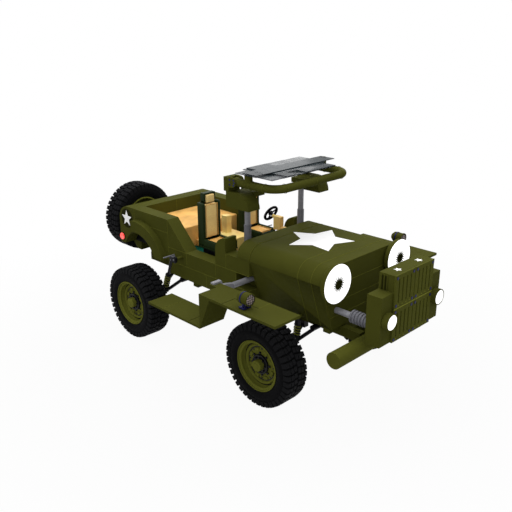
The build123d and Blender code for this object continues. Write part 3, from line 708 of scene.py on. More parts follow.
class CAR_OT_tub(bpy.types.Operator):
    """Build the side walls, the rear wall, the cowl and the cabin floor"""

    bl_idname = "car.tub"
    bl_label = "Tub"

    # corners of the black plate that lines a wheel arch
    LINER = ((0.516, 0.960, 1.110), (0.520, 1.970, 1.480))
    # x, top and foot of the joint down the rear wall
    REAR_JOINT = (0.030, 1.645, 1.30)
    # joints of the side panels as y, z of one end and y, z of the other
    JOINTS = ((0.845, 1.105, -0.600, 1.105), (0.885, 1.288, 0.505, 1.288),
              (-0.045, 1.288, -0.045, 1.105), (0.507, 1.288, 0.507, 1.140),
              (0.134, 1.105, 0.134, 0.932), (-0.407, 1.290, -0.407, 1.190),
              (-0.235, 1.470, -0.235, 1.290), (-0.045, 1.290, -0.630, 1.290),
              (0.878, 1.475, 1.610, 1.475), (0.878, 1.645, 0.878, 1.215),
              (1.612, 1.650, 1.612, 1.475))

    def execute(self, context):
        sizes = context.scene.car_sizes
        for node in ("side_wall_left", "side_wall_right", "rear_wall", "cowl"):
            panel(node, "body")
        cad_finish("floor", "teal")
        # console and dash take the beige lightened for upright faces, a painted light
        for node, finish, edge in (("rear_deck", "beige", 0.012), ("console", "beige_lit_upright", 0.012),
                                   ("dash", "beige_lit_upright", 0.006)):
            panel(node, "body", finish, edge)
        liner = block(*self.LINER, 0.0015, 1)
        finish_piece("arch_liners", joined(both_sides(), liner), "body", "grip")
        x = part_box("cowl")[1].x
        runs = [((x, y0, z0), (x, y1, z1)) for y0, z0, y1, z1 in self.JOINTS]
        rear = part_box("rear_wall")[0].y
        middle, top, foot = self.REAR_JOINT
        runs = [*on_side(-1, *runs), *on_side(1, *runs),
                ((middle, rear, top), (middle, rear, foot))]
        finish_piece("tub_seams", beads(runs, sizes.seam), "body", "seam")
        return {"FINISHED"}


class CAR_OT_front(bpy.types.Operator):
    """Build the bonnet with its star, the engine bay, the bumper and the engine"""

    bl_idname = "car.front"
    bl_label = "Bonnet and Bay"
    TAPER = 0.183                       # how far the bay's sides lean in on the way down
    STAR = (0.055, -1.030)              # middle of the bonnet star
    HOOPS = (-1.360, -1.545)            # y of the joints over the bonnet
    UPRIGHTS = (-1.365, -1.552)         # y of the joints down the bay's sides
    RAILS = (1.436, 1.240, 1.078)       # heights of the joints across the bay's front
    RIBS = 6                            # ribs on each side of the engine
    RIB_PITCH = 0.10

    def execute(self, context):
        sizes = context.scene.car_sizes
        panel("bonnet", "bonnet", edge=0.003)
        panel("engine_bay", "body")
        panel("bumper", "body", "bumper")
        low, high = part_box("bonnet")
        emblem = moved(star(sizes.star_reach, 0.003, 0.54), at(*self.STAR, high.z - 0.001))
        finish_piece("bonnet_star", emblem, "bonnet", "star")
        self.hoops(low, high, sizes.seam)
        self.bay_joints(low, high, sizes.seam)
        self.engine()
        return {"FINISHED"}

    def hoops(self, low, high, seam):
        """Joints that run over the bonnet and the cowl from side to side."""
        radius = high.z - low.z
        angles = [math.radians(90 * step / 12) for step in range(1, 13)]
        hoop = [(high.x, low.z)] + [(high.x - radius + radius * math.cos(a),
                                     low.z + radius * math.sin(a)) for a in angles]
        hoop += [(-x, z) for x, z in reversed(hoop)]
        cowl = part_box("cowl")[0].y + 0.003
        for name, body, joints in (("bonnet_seams", "bonnet", self.HOOPS),
                                   ("cowl_seam", "body", (cowl,))):
            runs = [[(x, y, z) for x, z in hoop] for y in joints]
            finish_piece(name, beads(runs, seam), body, "seam")

    def bay_joints(self, low, high, seam):
        """Joints down both sides of the bay and across its front."""
        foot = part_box("engine_bay")[0]
        belly = high.x - self.TAPER
        runs = [run for side in (-1, 1) for y in self.UPRIGHTS
                for run in on_side(side, ((high.x, y, low.z - 0.003),
                                          (belly, y, foot.z + 0.003)))]
        for z in self.RAILS:
            half = belly + self.TAPER * (z - foot.z) / (low.z - foot.z) - 0.004
            runs.append(((-half, foot.y, z), (half, foot.y, z)))
        finish_piece("bay_seams", beads(runs, seam), "body", "seam")

    def engine(self):
        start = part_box("engine")[0].y + 0.08
        bm = cad_copy("engine")
        bevel(bm, sharp_edges(bm), 0.008)
        for index in range(self.RIBS):
            y = start + index * self.RIB_PITCH
            for side in (-1, 1):
                add(bm, block((side * 0.190, y, 1.02), (side * 0.208, y + 0.035, 1.30), 0.006))
        finish_piece("engine_block", bm, "body", "iron", ["engine"])


class CAR_OT_wheels(bpy.types.Operator):
    """Build the tyres with block tread and the dished rims"""

    bl_idname = "car.wheels"
    bl_label = "Wheels"
    BARS = ((0.007, 0.052), (0.058, 0.100))     # ends of the tread bars from the middle
    LUG = 0.106                                 # where the shoulder lugs start

    def execute(self, context):
        sizes = context.scene.car_sizes
        low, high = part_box("tyre_front_left")
        self.reach = (high.z - low.z) / 2
        self.half = (high.x - low.x) / 2
        self.base = self.reach - sizes.tread_depth
        rim_low, rim_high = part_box("rim_front_left")
        self.seat = (rim_high.z - rim_low.z) / 2
        # shape, first word of its piece, slot, finish, whether it stands for a node
        shapes = ((self.tyre(), "tyre", "tyre", "rubber", True),
                  (self.tread(sizes.tread_count), "tread", "tyre", "tread", False),
                  (self.rim(), "rim", "olive_dark", "rim", True),
                  (self.hub(), "hub", "olive_dark", "black", False))
        wheels = [(f"{{}}_{end}_{word}", f"wheel_{end}_{word}", spun("Y", 90 * side))
                  for end in ("front", "rear") for side, word in SIDES]
        for pattern, body, way in (*wheels, ("spare_{}", "body", TO_REAR)):
            low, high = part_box(pattern.format("tyre"))
            place = Matrix.Translation((low + high) / 2) @ way
            for shape, word, slot, finish, stands in shapes:
                name = pattern.format(word)
                finish_piece(f"{name}_finished", moved(shape.copy(), place), body,
                             finish, [name] if stands else ())
        for shape in shapes:
            shape[0].free()
        return {"FINISHED"}

    def tyre(self):
        """Carcass with a bulged wall and a ridge above the rim."""
        half, seat, base = self.half, self.seat, self.base
        wall = [(seat + 0.002, half - 0.040), (seat + 0.010, half - 0.018),
                (seat + 0.016, half - 0.010), (seat + 0.022, half - 0.013),
                (seat + 0.034, half - 0.006), (seat + 0.075, half - 0.0015),
                (base - 0.078, half - 0.001), (base - 0.072, half - 0.004),
                (base - 0.040, half - 0.008), (base - 0.014, half - 0.020),
                (base, half - 0.042)]
        return turned(wall + [(radius, -height) for radius, height in reversed(wall)], 96)

    def tread(self, count):
        """Slanted bars in two rows a side, each bar ending in a lug on the shoulder."""
        pitch = math.tau / count
        long = self.reach * pitch * 0.70
        bm = bmesh.new()
        for side in (-1, 1):
            for index in range(count):
                turn = Matrix.Rotation((index + 0.25 * (1 + side)) * pitch, 4, "Z")
                for near, far in self.BARS:
                    bar = block((self.base - 0.006, -long / 2, side * near),
                                (self.reach - 0.0025, long / 2, side * far), 0.003, 1)
                    add(bm, bar, turn @ spun("X", 9 * side))
                add(bm, self.shoulder_lug(long, side), turn @ Matrix.Rotation(-0.020, 4, "Z"))
        return bm

    def shoulder_lug(self, long, side):
        """Block that runs from the tread down over the shoulder."""
        base, inner, outer = self.base, self.LUG, self.half - 0.001
        bm = block((base - 0.058, -long / 2, side * inner),
                   (self.reach - 0.001, long / 2, side * outer), 0.0, 1)
        for vertex in bm.verts:
            outside = abs(vertex.co.z) > (inner + outer) / 2
            if outside and vertex.co.x > base:
                vertex.co.x -= 0.008
                vertex.co.z -= side * 0.006
            if not outside and vertex.co.x < base:
                vertex.co.x = base - 0.006
        bevel(bm, list(bm.edges), 0.003, 1)
        return bm

    def rim(self):
        """Lipped rim with a stepped disc, raised pads and a tall hub cap."""
        seat, lip = self.seat, self.half - 0.016
        bm = turned([
            (seat - 0.001, -lip), (seat + 0.006, -lip - 0.004), (seat - 0.012, -lip - 0.006),
            (seat - 0.022, -lip + 0.015), (seat - 0.034, -0.040), (seat - 0.034, 0.030),
            (seat - 0.040, 0.044), (seat - 0.062, 0.052), (seat - 0.066, 0.052), (0.185, 0.036),
            (0.130, 0.040), (0.112, 0.050), (0.0, 0.052), (0.0, 0.064), (0.108, 0.064),
            (0.132, 0.060), (0.190, 0.050), (0.204, 0.052), (0.210, 0.068), (0.226, 0.080),
            (0.236, 0.074), (0.242, 0.060), (seat - 0.034, 0.060), (seat - 0.026, 0.074),
            (seat - 0.024, lip - 0.034), (seat - 0.030, lip - 0.028),
            (seat - 0.030, lip - 0.018), (seat - 0.016, lip - 0.008), (seat + 0.004, lip - 0.002),
            (seat + 0.010, lip + 0.006), (seat - 0.002, lip + 0.010), (seat - 0.008, lip - 0.002)],
            64)
        for index in range(8):
            add(bm, block((0.150, -0.030, 0.040), (0.188, 0.030, 0.070), 0.006),
                spun("Z", 45 * (index + 0.5)))
        add(bm, turned([(0, 0.055), (0.066, 0.055), (0.066, 0.140), (0.060, 0.148),
                        (0.038, 0.148), (0.034, 0.153), (0, 0.153)], 40))
        return bm

    def hub(self):
        """Black hub flange with square nuts round it, bolts, and the holes of the disc."""
        bm = turned([(0.062, 0.058), (0.114, 0.058), (0.116, 0.066), (0.116, 0.086),
                     (0.110, 0.092), (0.098, 0.092), (0.094, 0.086), (0.062, 0.086)], 40)
        for inner, outer, low, mid, high in ((0.192, 0.204, 0.050, 0.0525, 0.0535),
                                             (0.242, 0.254, 0.058, 0.0612, 0.0612)):
            add(bm, turned([(inner, low), (inner, mid), (outer, high), (outer, low)], 64))
        for index in range(8):
            turn = spun("Z", 45 * index)
            add(bm, drum(0.0105, 0.024, 0.002, 6), turn @ at(0.083, 0, 0.080))
            add(bm, block((0.120, -0.012, 0.052), (0.142, 0.012, 0.078), 0.003, 1),
                turn @ Matrix.Rotation(0.12, 4, "Z"))
            add(bm, block((0.164, -0.010, 0.046), (0.188, 0.010, 0.0550), 0.003, 1), turn)
        return bm


class CAR_OT_chassis(bpy.types.Operator):
    """Finish the chassis, the arms and the hub carriers, and build the springs and dampers"""

    bl_idname = "car.chassis"
    bl_label = "Chassis and Suspension"

    FRONT = (Vector((0.577, -1.261, 0.666)), Vector((0.580, -1.280, 0.965)))
    REAR = (Vector((0.702, 0.992, 0.653)), Vector((0.815, 0.670, 1.190)))

    def execute(self, context):
        sizes = context.scene.car_sizes
        panel("chassis", "body", "olive_dark", edge=0.003)
        for node in ("hub_carriers", "suspension_arms", "knuckle_left", "knuckle_right"):
            cad_finish(node, "black")
        both, (foot, head) = both_sides(), self.FRONT
        cap = turned([(0, -0.004), (0.020, 0.000), (0.031, 0.014), (0.034, 0.034),
                      (0.034, 0.094), (0.024, 0.100), (0, 0.100)], 32)
        top = head - (foot - head).normalized() * 0.002
        # the springs sit between two shares of the damper's length
        front, rear = (*self.FRONT, 0.18, 0.70), (*self.REAR, 0.10, 0.52)
        dampers = joined(
            both, self.damper(*front), self.damper(*rear), moved(cap, between(top, foot)),
            block((0.793, 0.569, 1.172), (0.836, 0.690, 1.250), 0.012, 3),
            rod(0.024, (0.790, 0.595, 1.218), (0.797, 0.595, 1.218), 0.001, 6))
        wire = sizes.spring_wire
        coils = joined(both, self.coil(*front, wire, 4), self.coil(*rear, wire, sizes.spring_turns))
        pins = joined(both, *(rod(radius, (x0, y, z), (x1, y, z)) for radius, x0, x1, y, z in (
            (0.018, 0.516, 0.606, head.y, head.z), (0.030, 0.562, 0.600, head.y, head.z),
            (0.022, 0.698, 0.793, 0.595, 1.218), (0.016, 0.670, 0.720, 1.000, 0.635))))
        claws = joined(
            both, block((0.800, 0.611, 1.266), (0.975, 0.629, 1.282), 0.005, 2),
            block((0.800, 0.605, 1.244), (0.836, 0.641, 1.266), 0.004, 1),
            rod(0.013, (0.834, 0.595, 1.218), (0.842, 0.595, 1.218), 0.001, 6),
            rod(0.009, (0.834, 0.660, 1.200), (0.841, 0.660, 1.200), 0.001, 6))
        finish_piece("damper_units", dampers, "body", "black", ["coil_overs"])
        finish_piece("coil_springs", coils, "body", "coil")
        finish_piece("spring_pins", pins, "body", "olive")
        finish_piece("rear_claws", claws, "body", "ram")
        return {"FINISHED"}

    def damper(self, lower, upper, low_share, high_share):
        """Rod, body and the two spring seats between two points."""
        line = upper - lower
        thick = line.normalized() * 0.004
        seats = (lower + line * share for share in (low_share, high_share))
        eye = moved(ring(0.019, 0.007, 24, 8), between(lower, upper) @ TO_X)
        return joined(
            (), rod(0.012, lower, upper),
            rod(0.027, lower + line * low_share, lower + line * high_share),
            rod(0.019, lower + line * high_share * 0.55, upper),
            *(rod(0.040, seat - thick, seat + thick) for seat in seats), eye)

    def coil(self, lower, upper, low_share, high_share, wire, turns):
        """Spring between the two seats of a damper."""
        line = upper - lower
        start = lower + line * low_share + line.normalized() * 0.004
        height = line.length * (high_share - low_share) - 0.008
        return moved(helix(0.036, wire, height, turns), between(start, upper))


class CAR_OT_grille(bpy.types.Operator):
    """Build the grille block with its slatted panels, bolts, stars and gaiters"""

    bl_idname = "car.grille"
    bl_label = "Grille"
    SEAM = 1.320            # height of the joint between the upper and lower panels
    GAP = 0.005             # half the gap between two panels
    SLOT_HALF = 0.0085      # half the width of a slot
    SLOTS = 4               # slots in one panel
    STARS = (-0.180, 0.205)         # x of the two stars on the crown
    RIBS = 3                        # ribs on each side of the crown
    RIB_START, RIB_PITCH = 0.078, 0.036

    def execute(self, context):
        sizes = context.scene.car_sizes
        low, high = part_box("grille_block")
        panels_low, panels_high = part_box("grille_panels")
        panel("grille_block", "grille")
        self.panels(panels_low, panels_high)
        self.fixings(sizes.bolt_radius, panels_low, panels_high)
        self.side_ribs(low.y, panels_high.x)
        middle = (low.y + high.y) / 2 - 0.012
        places = [at(x, middle, high.z - 0.0015) @ spun("Z", 180) for x in self.STARS]
        finish_piece("grille_stars", joined(places, star(0.046, 0.002, 0.48)), "grille",
                     "star")
        cad_finish("bellows", "gaiter")
        return {"FINISHED"}

    def quarters(self, low, high):
        """The four panels as (x0, x1, z0, z1), either side of the middle and the seam."""
        return [(x0, x1, z0, z1)
                for x0, x1 in ((low.x, -self.GAP), (self.GAP, high.x))
                for z0, z1 in ((low.z, self.SEAM - self.GAP), (self.SEAM + self.GAP, high.z))]

    def panels(self, low, high):
        """Panels with upright slots between slats, which lie just behind the rails."""
        bm = bmesh.new()
        for x0, x1, z0, z1 in self.quarters(low, high):
            for bottom, top in ((z0, z0 + 0.052), (z1 - 0.045, z1)):
                add(bm, block((x0, low.y, bottom), (x1, high.y, top), 0.002))
            pitch = (x1 - x0) / (self.SLOTS + 1)
            for index in range(self.SLOTS + 1):
                left = x0 + index * pitch + (self.SLOT_HALF if index else 0.0005)
                right = (x0 + (index + 1) * pitch - self.SLOT_HALF if index < self.SLOTS
                         else x1 - 0.0005)
                add(bm, block((left, low.y + 0.001, z0 + 0.040),
                              (right, high.y, z1 - 0.035), 0.003))
        finish_piece("grille_panels_slotted", bm, "grille", "slat",
                     ["grille_panels"], flat=True)

    def fixings(self, bolt_radius, low, high):
        """Blued bolts in the panel corners, pale studs below the slots and a seam rail whose pale
        colour is a painted highlight along the seam.
        """
        inset = 0.030
        bolts, studs = [], []
        for x0, x1, z0, z1 in self.quarters(low, high):
            bolts += [at(x, low.y + 0.004, z) @ TO_FRONT for x in (x0 + inset, x1 - inset)
                      for z in (z0 + inset, z1 - inset)]
            studs += [at(x0 + (x1 - x0) * (slot + 1) / (self.SLOTS + 1), low.y + 0.001,
                         z0 + 0.028) @ TO_FRONT for slot in range(self.SLOTS)]
        bolts = joined(bolts, drum(bolt_radius, 0.009, 0.002, 16))
        studs = joined(studs, drum(0.0065, 0.003, 0.001, 10))
        y = low.y + 0.003
        add(studs, beads([((low.x, y, self.SEAM), (high.x, y, self.SEAM))], 0.006))
        finish_piece("grille_bolts", bolts, "grille", "bolt")
        finish_piece("grille_studs", studs, "grille", "seam_light")

    def side_ribs(self, front, x):
        """Three upright ribs on each side of the crown, with thin dark blocks between them that
        paint the shade in the slots.
        """
        ribs = bmesh.new()
        slots = bmesh.new()
        for side in (-1, 1):
            for index in range(self.RIBS):
                y = front + self.RIB_START + index * self.RIB_PITCH
                add(ribs, block((side * x, y - 0.006, 1.440),
                                (side * (x + 0.007), y + 0.006, 1.668), 0.002))
                if index < self.RIBS - 1:
                    # dark block: painted shade in the slot between two ribs
                    add(slots, block((side * (x - 0.001), y + 0.008, 1.452),
                                     (side * (x + 0.0015), y + 0.028, 1.656), 0.0005, 1))
        finish_piece("grille_ribs", ribs, "grille", "olive")
        finish_piece("grille_slot_shade", slots, "grille", "seam_dark")


class CAR_OT_lamps(bpy.types.Operator):
    """Build the headlamps, marker lamps, wing lamps and tail lamps"""

    bl_idname = "car.lamps"
    bl_label = "Lamps"

    def execute(self, context):
        sizes = context.scene.car_sizes
        self.headlamps(sizes.spokes)
        self.marker_lamps()
        for _, word in SIDES:
            self.wing_lamp(word)
        self.tail_lamps()
        return {"FINISHED"}

    def pair(self, node):
        """Places of a pair of lamps that face the front, their radius and their depth."""
        low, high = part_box(node)
        radius = (high.z - low.z) / 2
        middle = at(high.x - radius, low.y, (low.z + high.z) / 2)
        return both_sides(middle @ TO_FRONT), radius, high.y - low.y

    def headlamps(self, spikes):
        places, radius, depth = self.pair("headlamps")
        inner = 0.042       # radius of the dark centre
        shell = turned([(0, -depth), (radius - 0.050, -depth), (radius - 0.022, 0.008 - depth),
                        (radius - 0.004, 0.030 - depth), (radius - 0.004, -0.022),
                        (radius - 0.012, -0.026), (0, -0.040)], 64)
        glow = turned([(inner, -0.038), (inner, -0.014), (inner + 0.010, -0.008),
                       (0.110, -0.006), (0.140, -0.002), (radius - 0.030, 0),
                       (radius - 0.009, -0.005), (radius, -0.014), (radius, -0.022),
                       (radius - 0.014, -0.030)], 64)
        dark = turned([(0, -0.030), (inner - 0.014, -0.024), (inner - 0.002, -0.010),
                       (inner + 0.004, -0.005), (inner + 0.006, -0.012),
                       (inner - 0.002, -0.034), (0, -0.040)], 40)
        spike = bmesh.new()
        bmesh.ops.create_cone(spike, cap_ends=True, segments=4, radius1=0.0115, radius2=0.0006,
                              depth=0.068, matrix=Matrix.Diagonal((0.35, 1, 1, 1)))
        add(dark, spike, *(spun("Z", 360 * index / spikes) @ at(0.069, 0, -0.0045) @ TO_X
                           for index in range(spikes)))
        finish_piece("headlamp_shells", joined(places, shell), "body", "olive",
                     ["headlamps"])
        finish_piece("headlamp_lenses", joined(places, glow), "body", "white_lamp")
        finish_piece("headlamp_centres", joined(places, dark), "body",
                     "seam_dark")

    def marker_lamps(self):
        places, radius, depth = self.pair("marker_lamps")
        edge = radius - 0.011
        bezel = turned([(0, -depth), (radius - 0.006, -depth), (radius, 0.004 - depth),
                        (radius, -0.008), (radius - 0.003, -0.005), (radius - 0.008, -0.005),
                        (edge, -0.010), (edge - 0.001, -0.024), (0, -0.024)], 48)
        lens = turned([(0, -0.022), (edge - 0.008, -0.020), (edge, -0.016), (edge, -0.009),
                       (edge - 0.010, -0.003), (radius * 0.5, 0), (0, 0)], 48)
        finish_piece("marker_bezels", joined(places, bezel), "grille", "olive",
                     ["marker_lamps"])
        finish_piece("marker_lenses", joined(places, lens), "grille",
                     "white_lamp")

    def wing_lamp(self, word):
        """Lamp on a wing: shell, band and feet, lens and a wire guard."""
        low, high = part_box(f"fender_lamp_{word}")
        radius, depth = (high.x - low.x) / 2, high.y - low.y
        x, y = (low.x + high.x) / 2, low.y + 0.085
        place = at(x, low.y, high.z - radius) @ TO_FRONT
        skin, band = radius - 0.004, -depth * 0.62
        shell = turned([(0, -depth), (radius * 0.55, -depth), (radius * 0.92, 0.03 - depth),
                        (skin, 0.05 - depth), (skin, -0.022), (radius, -0.018),
                        (radius, -0.004), (radius - 0.008, 0), (radius - 0.012, -0.012),
                        (0, -0.014)], 40)
        feet = joined([place], turned([(skin, band), (radius, band), (radius, band + 0.016),
                                       (skin, band + 0.016)], 40))
        for shift in (-0.030, 0.030):
            add(feet, block((x + shift - 0.024, y - 0.040, low.z),
                            (x + shift + 0.024, y + 0.040, low.z + 0.022), 0.005))
            add(feet, rod(0.013, (x + shift, y, low.z + 0.01),
                          (x + shift * 0.6, y, low.z + 0.055)))
        lens = turned([(0, -0.016), (radius - 0.013, -0.015), (radius - 0.016, -0.006),
                       (radius * 0.5, -0.001), (0, 0)], 40)
        guard = bmesh.new()
        for offset in (-0.024, 0.0, 0.024):
            reach = math.sqrt((radius - 0.006) ** 2 - offset ** 2)
            for start, end in (((offset, -reach, -0.002), (offset, reach, -0.002)),
                               ((-reach, offset, -0.002), (reach, offset, -0.002))):
                add(guard, rod(0.0035, start, end, 0.001, 8), place)
        for name, bm, slot, finish, replaces in (
                ("shell", moved(shell, place), "olive_paint", "olive", [f"fender_lamp_{word}"]),
                ("feet", feet, "black_steel", "bolt", ()),
                ("lens", moved(lens, place), "lamp_white", "dim_lens", ()),
                ("guard", guard, "black_steel", "black", ())):
            finish_piece(f"wing_lamp_{name}_{word}", bm, f"wing_{word}", finish, replaces)

    def tail_lamps(self):
        low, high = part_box("tail_lamps")
        radius = (high.z - low.z) / 2
        back = -0.034       # depth of the lamp behind its front
        places = both_sides(at(high.x, (low.y + high.y) / 2, (low.z + high.z) / 2) @ TO_X)
        lens = turned([(0, back), (radius - 0.010, back), (radius - 0.003, 0.010 + back),
                       (radius - 0.003, -0.014), (radius * 0.7, -0.004), (0, 0)], 40)
        bezel = turned([(radius - 0.010, back), (radius, back), (radius, 0.010 + back),
                        (radius - 0.004, 0.012 + back)], 40)
        finish_piece("tail_lamp_lenses", joined(places, lens), "body", "red_lamp")
        finish_piece("tail_lamp_bezels", joined(places, bezel), "body", "black",
                     ["tail_lamps"])


class CAR_OT_wings(bpy.types.Operator):
    """Build the wing plates with their wedges and running boards"""

    bl_idname = "car.wings"
    bl_label = "Wings"

    def execute(self, context):
        sizes = context.scene.car_sizes
        top, board = 1.320, 0.934       # heights of the wing plate and the running board
        x, y = 1.275, -1.358            # inner corner of the plate's wedge
        for side, word in SIDES:
            low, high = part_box(f"wing_{word}")
            outer = max(abs(low.x), abs(high.x)) - 0.003
            inner = min(abs(low.x), abs(high.x)) + 0.003
            panel(f"wing_{word}", f"wing_{word}", edge=0.003)
            cad_finish(f"side_ram_rod_{word}", "steel_x")
            joint = (((outer, -1.010, top), (x, -1.010, top), (x, y, top)),
                     ((outer, -0.445, board), (inner + 0.160, -0.445, board)))
            seams = (((x, y, top), (inner, y, top)),
                     ((outer, 0.030, board), (inner + 0.012, 0.030, board)))
            # the joint beads are dark: painted shade of the groove along the joint
            for name, runs, finish in (("joint", joint, "seam_dark"), ("seams", seams, "seam")):
                finish_piece(f"wing_{name}_{word}", beads(on_side(side, *runs), sizes.seam),
                             f"wing_{word}", finish)
        return {"FINISHED"}


class CAR_OT_rams(bpy.types.Operator):
    """Finish the ram barrels, posts and rods"""

    bl_idname = "car.rams"
    bl_label = "Rams"

    def execute(self, context):
        for node, finish in (("side_ram_tubes", "ram"), ("post_barrels", "ram"),
                             ("post_rods", "steel_z"), ("front_ram_rods", "steel_y")):
            cad_finish(node, finish)
        return {"FINISHED"}


class CAR_OT_screen(bpy.types.Operator):
    """Build the raised windscreen frame, its hinges and the overlapping plates"""

    bl_idname = "car.screen"
    bl_label = "Windscreen"
    LEVEL = 2.348           # height of the frame's tube and of the hinge line
    HINGE_Y = -0.355
    HINGE_X = 0.693         # outer face of the hinge ears

    def execute(self, context):
        panel("lift_head", "lift", edge=0.004)
        cad_finish("screen_frame", "olive")
        plates = cad_copy("screen_glass")
        bevel(plates, sharp_edges(plates), 0.0015, 1)
        finish_piece("screen_plates", plates, "screen", "pane",
                     ["screen_glass"])
        self.rings()
        self.bolts()
        return {"FINISHED"}

    def rings(self):
        """Bead rings where the bends of the tube join its straight runs."""
        side, front, bend = 0.633, -0.969, 0.150
        places = [at(x, y, self.LEVEL) @ TO_FRONT for x in (-side, side)
                  for y in (front + bend, front + 0.36)]
        places += [at(x, front, self.LEVEL) @ TO_X for x in (bend - side, 0.0, side - bend)]
        finish_piece("screen_tube_rings", joined(places, ring(0.0515, 0.002, 32, 8)), "screen",
                     "seam")

    def bolts(self):
        """Blued bolts and small teal screws on the hinge blocks and ears."""
        blued = bmesh.new()
        screws = [at(side * x, -0.274, 2.4055) for side in (-1, 1) for x in (0.560, 0.640)]
        for side in (-1, 1):
            outward = spun("Y", 90 * side)
            ear = at(side * self.HINGE_X, self.HINGE_Y, self.LEVEL)
            add(blued, drum(0.013, 0.006, 0.001, 12),
                *(ear @ at(0, 0.030, z) @ outward for z in (-0.028, 0.028)))
            add(blued, drum(0.012, 0.006, 0.001, 12),
                *(ear @ spun("X", angle) @ at(0, 0.044, 0) @ outward
                  for angle in (138, 180, 222)))
        finish_piece("hinge_bolts", blued, "lift", "bolt")
        finish_piece("hinge_screws", joined(screws, drum(0.009, 0.004, 0.001, 12)), "lift",
                     "teal")


class CAR_OT_seats(bpy.types.Operator):
    """Build the padded seats with their bolsters and slides"""

    bl_idname = "car.seats"
    bl_label = "Seats"
    X = 0.350               # middle of the left seat
    HALF = 0.150            # half the width of a seat
    PAD = 0.101             # half the width of its pads

    def execute(self, context):
        low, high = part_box("seat_shells")
        self.rear, self.front = high.y, low.y
        self.frames()
        self.bolsters()
        self.pads()
        return {"FINISHED"}

    def blocks(self, rows):
        """Blocks of the left seat from rows of x0, x1 beside its middle, y0, y1, z0, z1,
        edge and segments."""
        return [block((self.X + x0, y0, z0), (self.X + x1, y1, z1), edge, segments)
                for x0, x1, y0, y1, z0, z1, edge, segments in rows]

    def frames(self):
        """Tray and back sheet of each seat, and its black slide with the rails."""
        half, front, rear = self.HALF, self.front, self.rear
        sheets = self.blocks((
            (-half, half, front + 0.004, rear - 0.002, 1.339, 1.358, 0.006, 2),
            (0.004 - half, half - 0.004, rear - 0.024, rear, 1.345, 1.916, 0.010, 3),
            (-0.090, 0.090, rear - 0.024, rear, 1.90, 2.030, 0.010, 3)))
        slides = self.blocks((
            (-0.100, 0.100, 0.200, 0.470, 1.222, 1.338, 0.006, 2),
            (-0.094, -0.078, 0.200, 0.470, 1.200, 1.224, 0.003, 2),
            (0.078, 0.094, 0.200, 0.470, 1.200, 1.224, 0.003, 2)))
        slides += [rod(0.010, (self.X - 0.104, y, 1.290), (self.X + 0.104, y, 1.290))
                   for y in (0.235, 0.435)]
        finish_piece("seat_backs", joined(both_sides(), *sheets), "body",
                     "hide_green", ["seat_shells"])
        finish_piece("seat_slides", joined(both_sides(), *slides), "body",
                     "black")

    def bolsters(self):
        """Rounded rolls at both sides of cushion and back, and round the headrest."""
        half, pad, front, rear = self.HALF, self.PAD + 0.001, self.front, self.rear
        rows = []
        for edge in (-1, 1):
            rows += [(edge * pad, edge * half, 0.392, rear - 0.006, 1.362, 1.918, 0.023, 5),
                     (edge * pad, edge * half, front + 0.002, 0.412, 1.352, 1.457, 0.022, 5),
                     (edge * 0.073, edge * 0.094, 0.428, rear - 0.008, 1.925, 2.032, 0.0095, 4)]
        rows += [(-0.090, 0.090, 0.428, rear - 0.008, 2.018, 2.034, 0.0075, 4),
                 (-0.146, 0.146, front, front + 0.040, 1.350, 1.430, 0.018, 4)]
        piece = finish_piece("seat_bolsters", joined(both_sides(), *self.blocks(rows)), "body",
                             "hide_green")

    def pads(self):
        """Cushion, back pad and headrest, each blown up as cloth and edged with piping."""
        x, pad, back = self.X, self.PAD, self.rear - 0.025
        for name, low, high, finish, replaces in (
                ("cushions", (x - pad, self.front + 0.030, 1.359), (x + pad, 0.391, 1.449),
                 "hide_beige", ["seat_pads"]),
                # back pads and headrests take the hide lightened for upright faces, a painted light
                ("back_pads", (x - pad, 0.392, 1.452), (x + pad, back, 1.898), "hide_pale", ()),
                ("headrests", (x - 0.072, back - 0.082, 1.903), (x + 0.072, back, 2.018),
                 "hide_pale", ())):
            shape = joined(both_sides(), puffed(low, high, 0.011))
            piece = finish_piece(f"seat_{name}", shape, "body", finish, replaces,
                                 60.0)
        left, right = x - pad + 0.006, x + pad - 0.006
        piping = beads((((left, 0.396, 1.465), (left, 0.396, 1.890), (right, 0.396, 1.890),
                         (right, 0.396, 1.465)),
                        ((left, 0.380, 1.443), (left, 0.122, 1.443), (right, 0.122, 1.443),
                         (right, 0.380, 1.443))), 0.0035)
        finish_piece("seat_piping", joined(both_sides(), piping), "body",
                     "hide_beige")


class CAR_OT_steering(bpy.types.Operator):
    """Finish the steering wheel"""

    bl_idname = "car.steering"
    bl_label = "Steering Wheel"
    CENTRE = (0.05175, 1.692)       # y and z of the wheel's centre
    TILT = -62
    GRIP = (0.098, 0.0172)          # radius of the grip and of its section

    def execute(self, context):
        cad_finish("steering_wheel", "black")
        low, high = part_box("steering_wheel")
        place = at((low.x + high.x) / 2, *self.CENTRE) @ spun("X", self.TILT)
        grip = joined([place], ring(*self.GRIP, 64, 16),
                      moved(drum(0.034, 0.020, 0.004), at(0, 0, -0.003)))
        add(grip, block((0.026, -0.012, -0.006), (0.092, 0.012, 0.006), 0.004),
            *(place @ spun("Z", angle) for angle in (90, 210, 330)))
        finish_piece("steering_grip", grip, "steering", "grip")
        return {"FINISHED"}


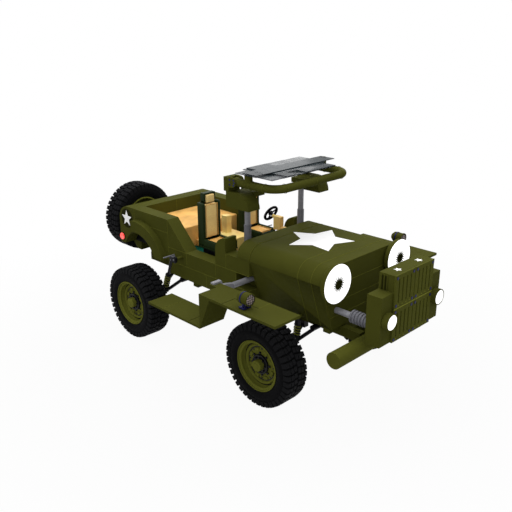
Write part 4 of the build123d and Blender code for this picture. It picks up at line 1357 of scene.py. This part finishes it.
class CAR_OT_rear(bpy.types.Operator):
    """Finish the spare wheel's post and put the stars on the rear corners"""

    bl_idname = "car.rear"
    bl_label = "Rear"
    CORNER = (0.697, 1.796, 1.487)      # middle of the left star
    STAR = 0.115                        # from its middle to a tip
    DISC = 0.135                        # radius of the dark disc behind it

    def execute(self, context):
        cad_finish("spare_carrier", "olive_dark")
        place = at(*self.CORNER) @ TO_X
        emblem = joined(both_sides(place @ spun("Z", 90) @ at(0, 0, 0.002)), star(self.STAR, 0.005))
        disc = joined(both_sides(place), drum(self.DISC, 0.003, 0.001, 48))
        finish_piece("rear_stars", emblem, "body", "star")
        finish_piece("rear_star_discs", disc, "body", "seam_dark")
        return {"FINISHED"}


PIECES = (CAR_OT_stage, CAR_OT_tub, CAR_OT_front, CAR_OT_wheels, CAR_OT_chassis,
          CAR_OT_grille, CAR_OT_lamps, CAR_OT_wings, CAR_OT_rams, CAR_OT_screen,
          CAR_OT_seats, CAR_OT_steering, CAR_OT_rear)


class CAR_PT_panel(bpy.types.Panel):
    """Sidebar list of the car's pieces and settings"""

    bl_idname = "CAR_PT_panel"
    bl_label = "Army Car"
    bl_space_type = "VIEW_3D"
    bl_region_type = "UI"
    bl_category = "Army Car"

    def draw(self, context):
        layout = self.layout
        for piece in PIECES:
            layout.operator(piece.bl_idname)
        for group in (context.scene.car_sizes, context.scene.car_colours,
                      context.scene.car_stage):
            for name in group.bl_rna.properties.keys():
                if name not in ("rna_type", "name"):
                    layout.prop(group, name)


CLASSES = (CarColours, CarSizes, CarStage, *PIECES, CAR_PT_panel)


def register():
    for item in CLASSES:
        bpy.utils.register_class(item)
    bpy.types.Scene.car_colours = PointerProperty(type=CarColours)
    bpy.types.Scene.car_sizes = PointerProperty(type=CarSizes)
    bpy.types.Scene.car_stage = PointerProperty(type=CarStage)


def unregister():
    for name in ("car_colours", "car_sizes", "car_stage"):
        delattr(bpy.types.Scene, name)
    for item in reversed(CLASSES):
        bpy.utils.unregister_class(item)


def main():
    """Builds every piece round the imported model."""
    register()
    bpy.context.scene.view_settings.view_transform = "Standard"
    for piece in PIECES:
        group, name = piece.bl_idname.split(".")
        getattr(getattr(bpy.ops, group), name)()


if __name__ == "__main__":
    main()
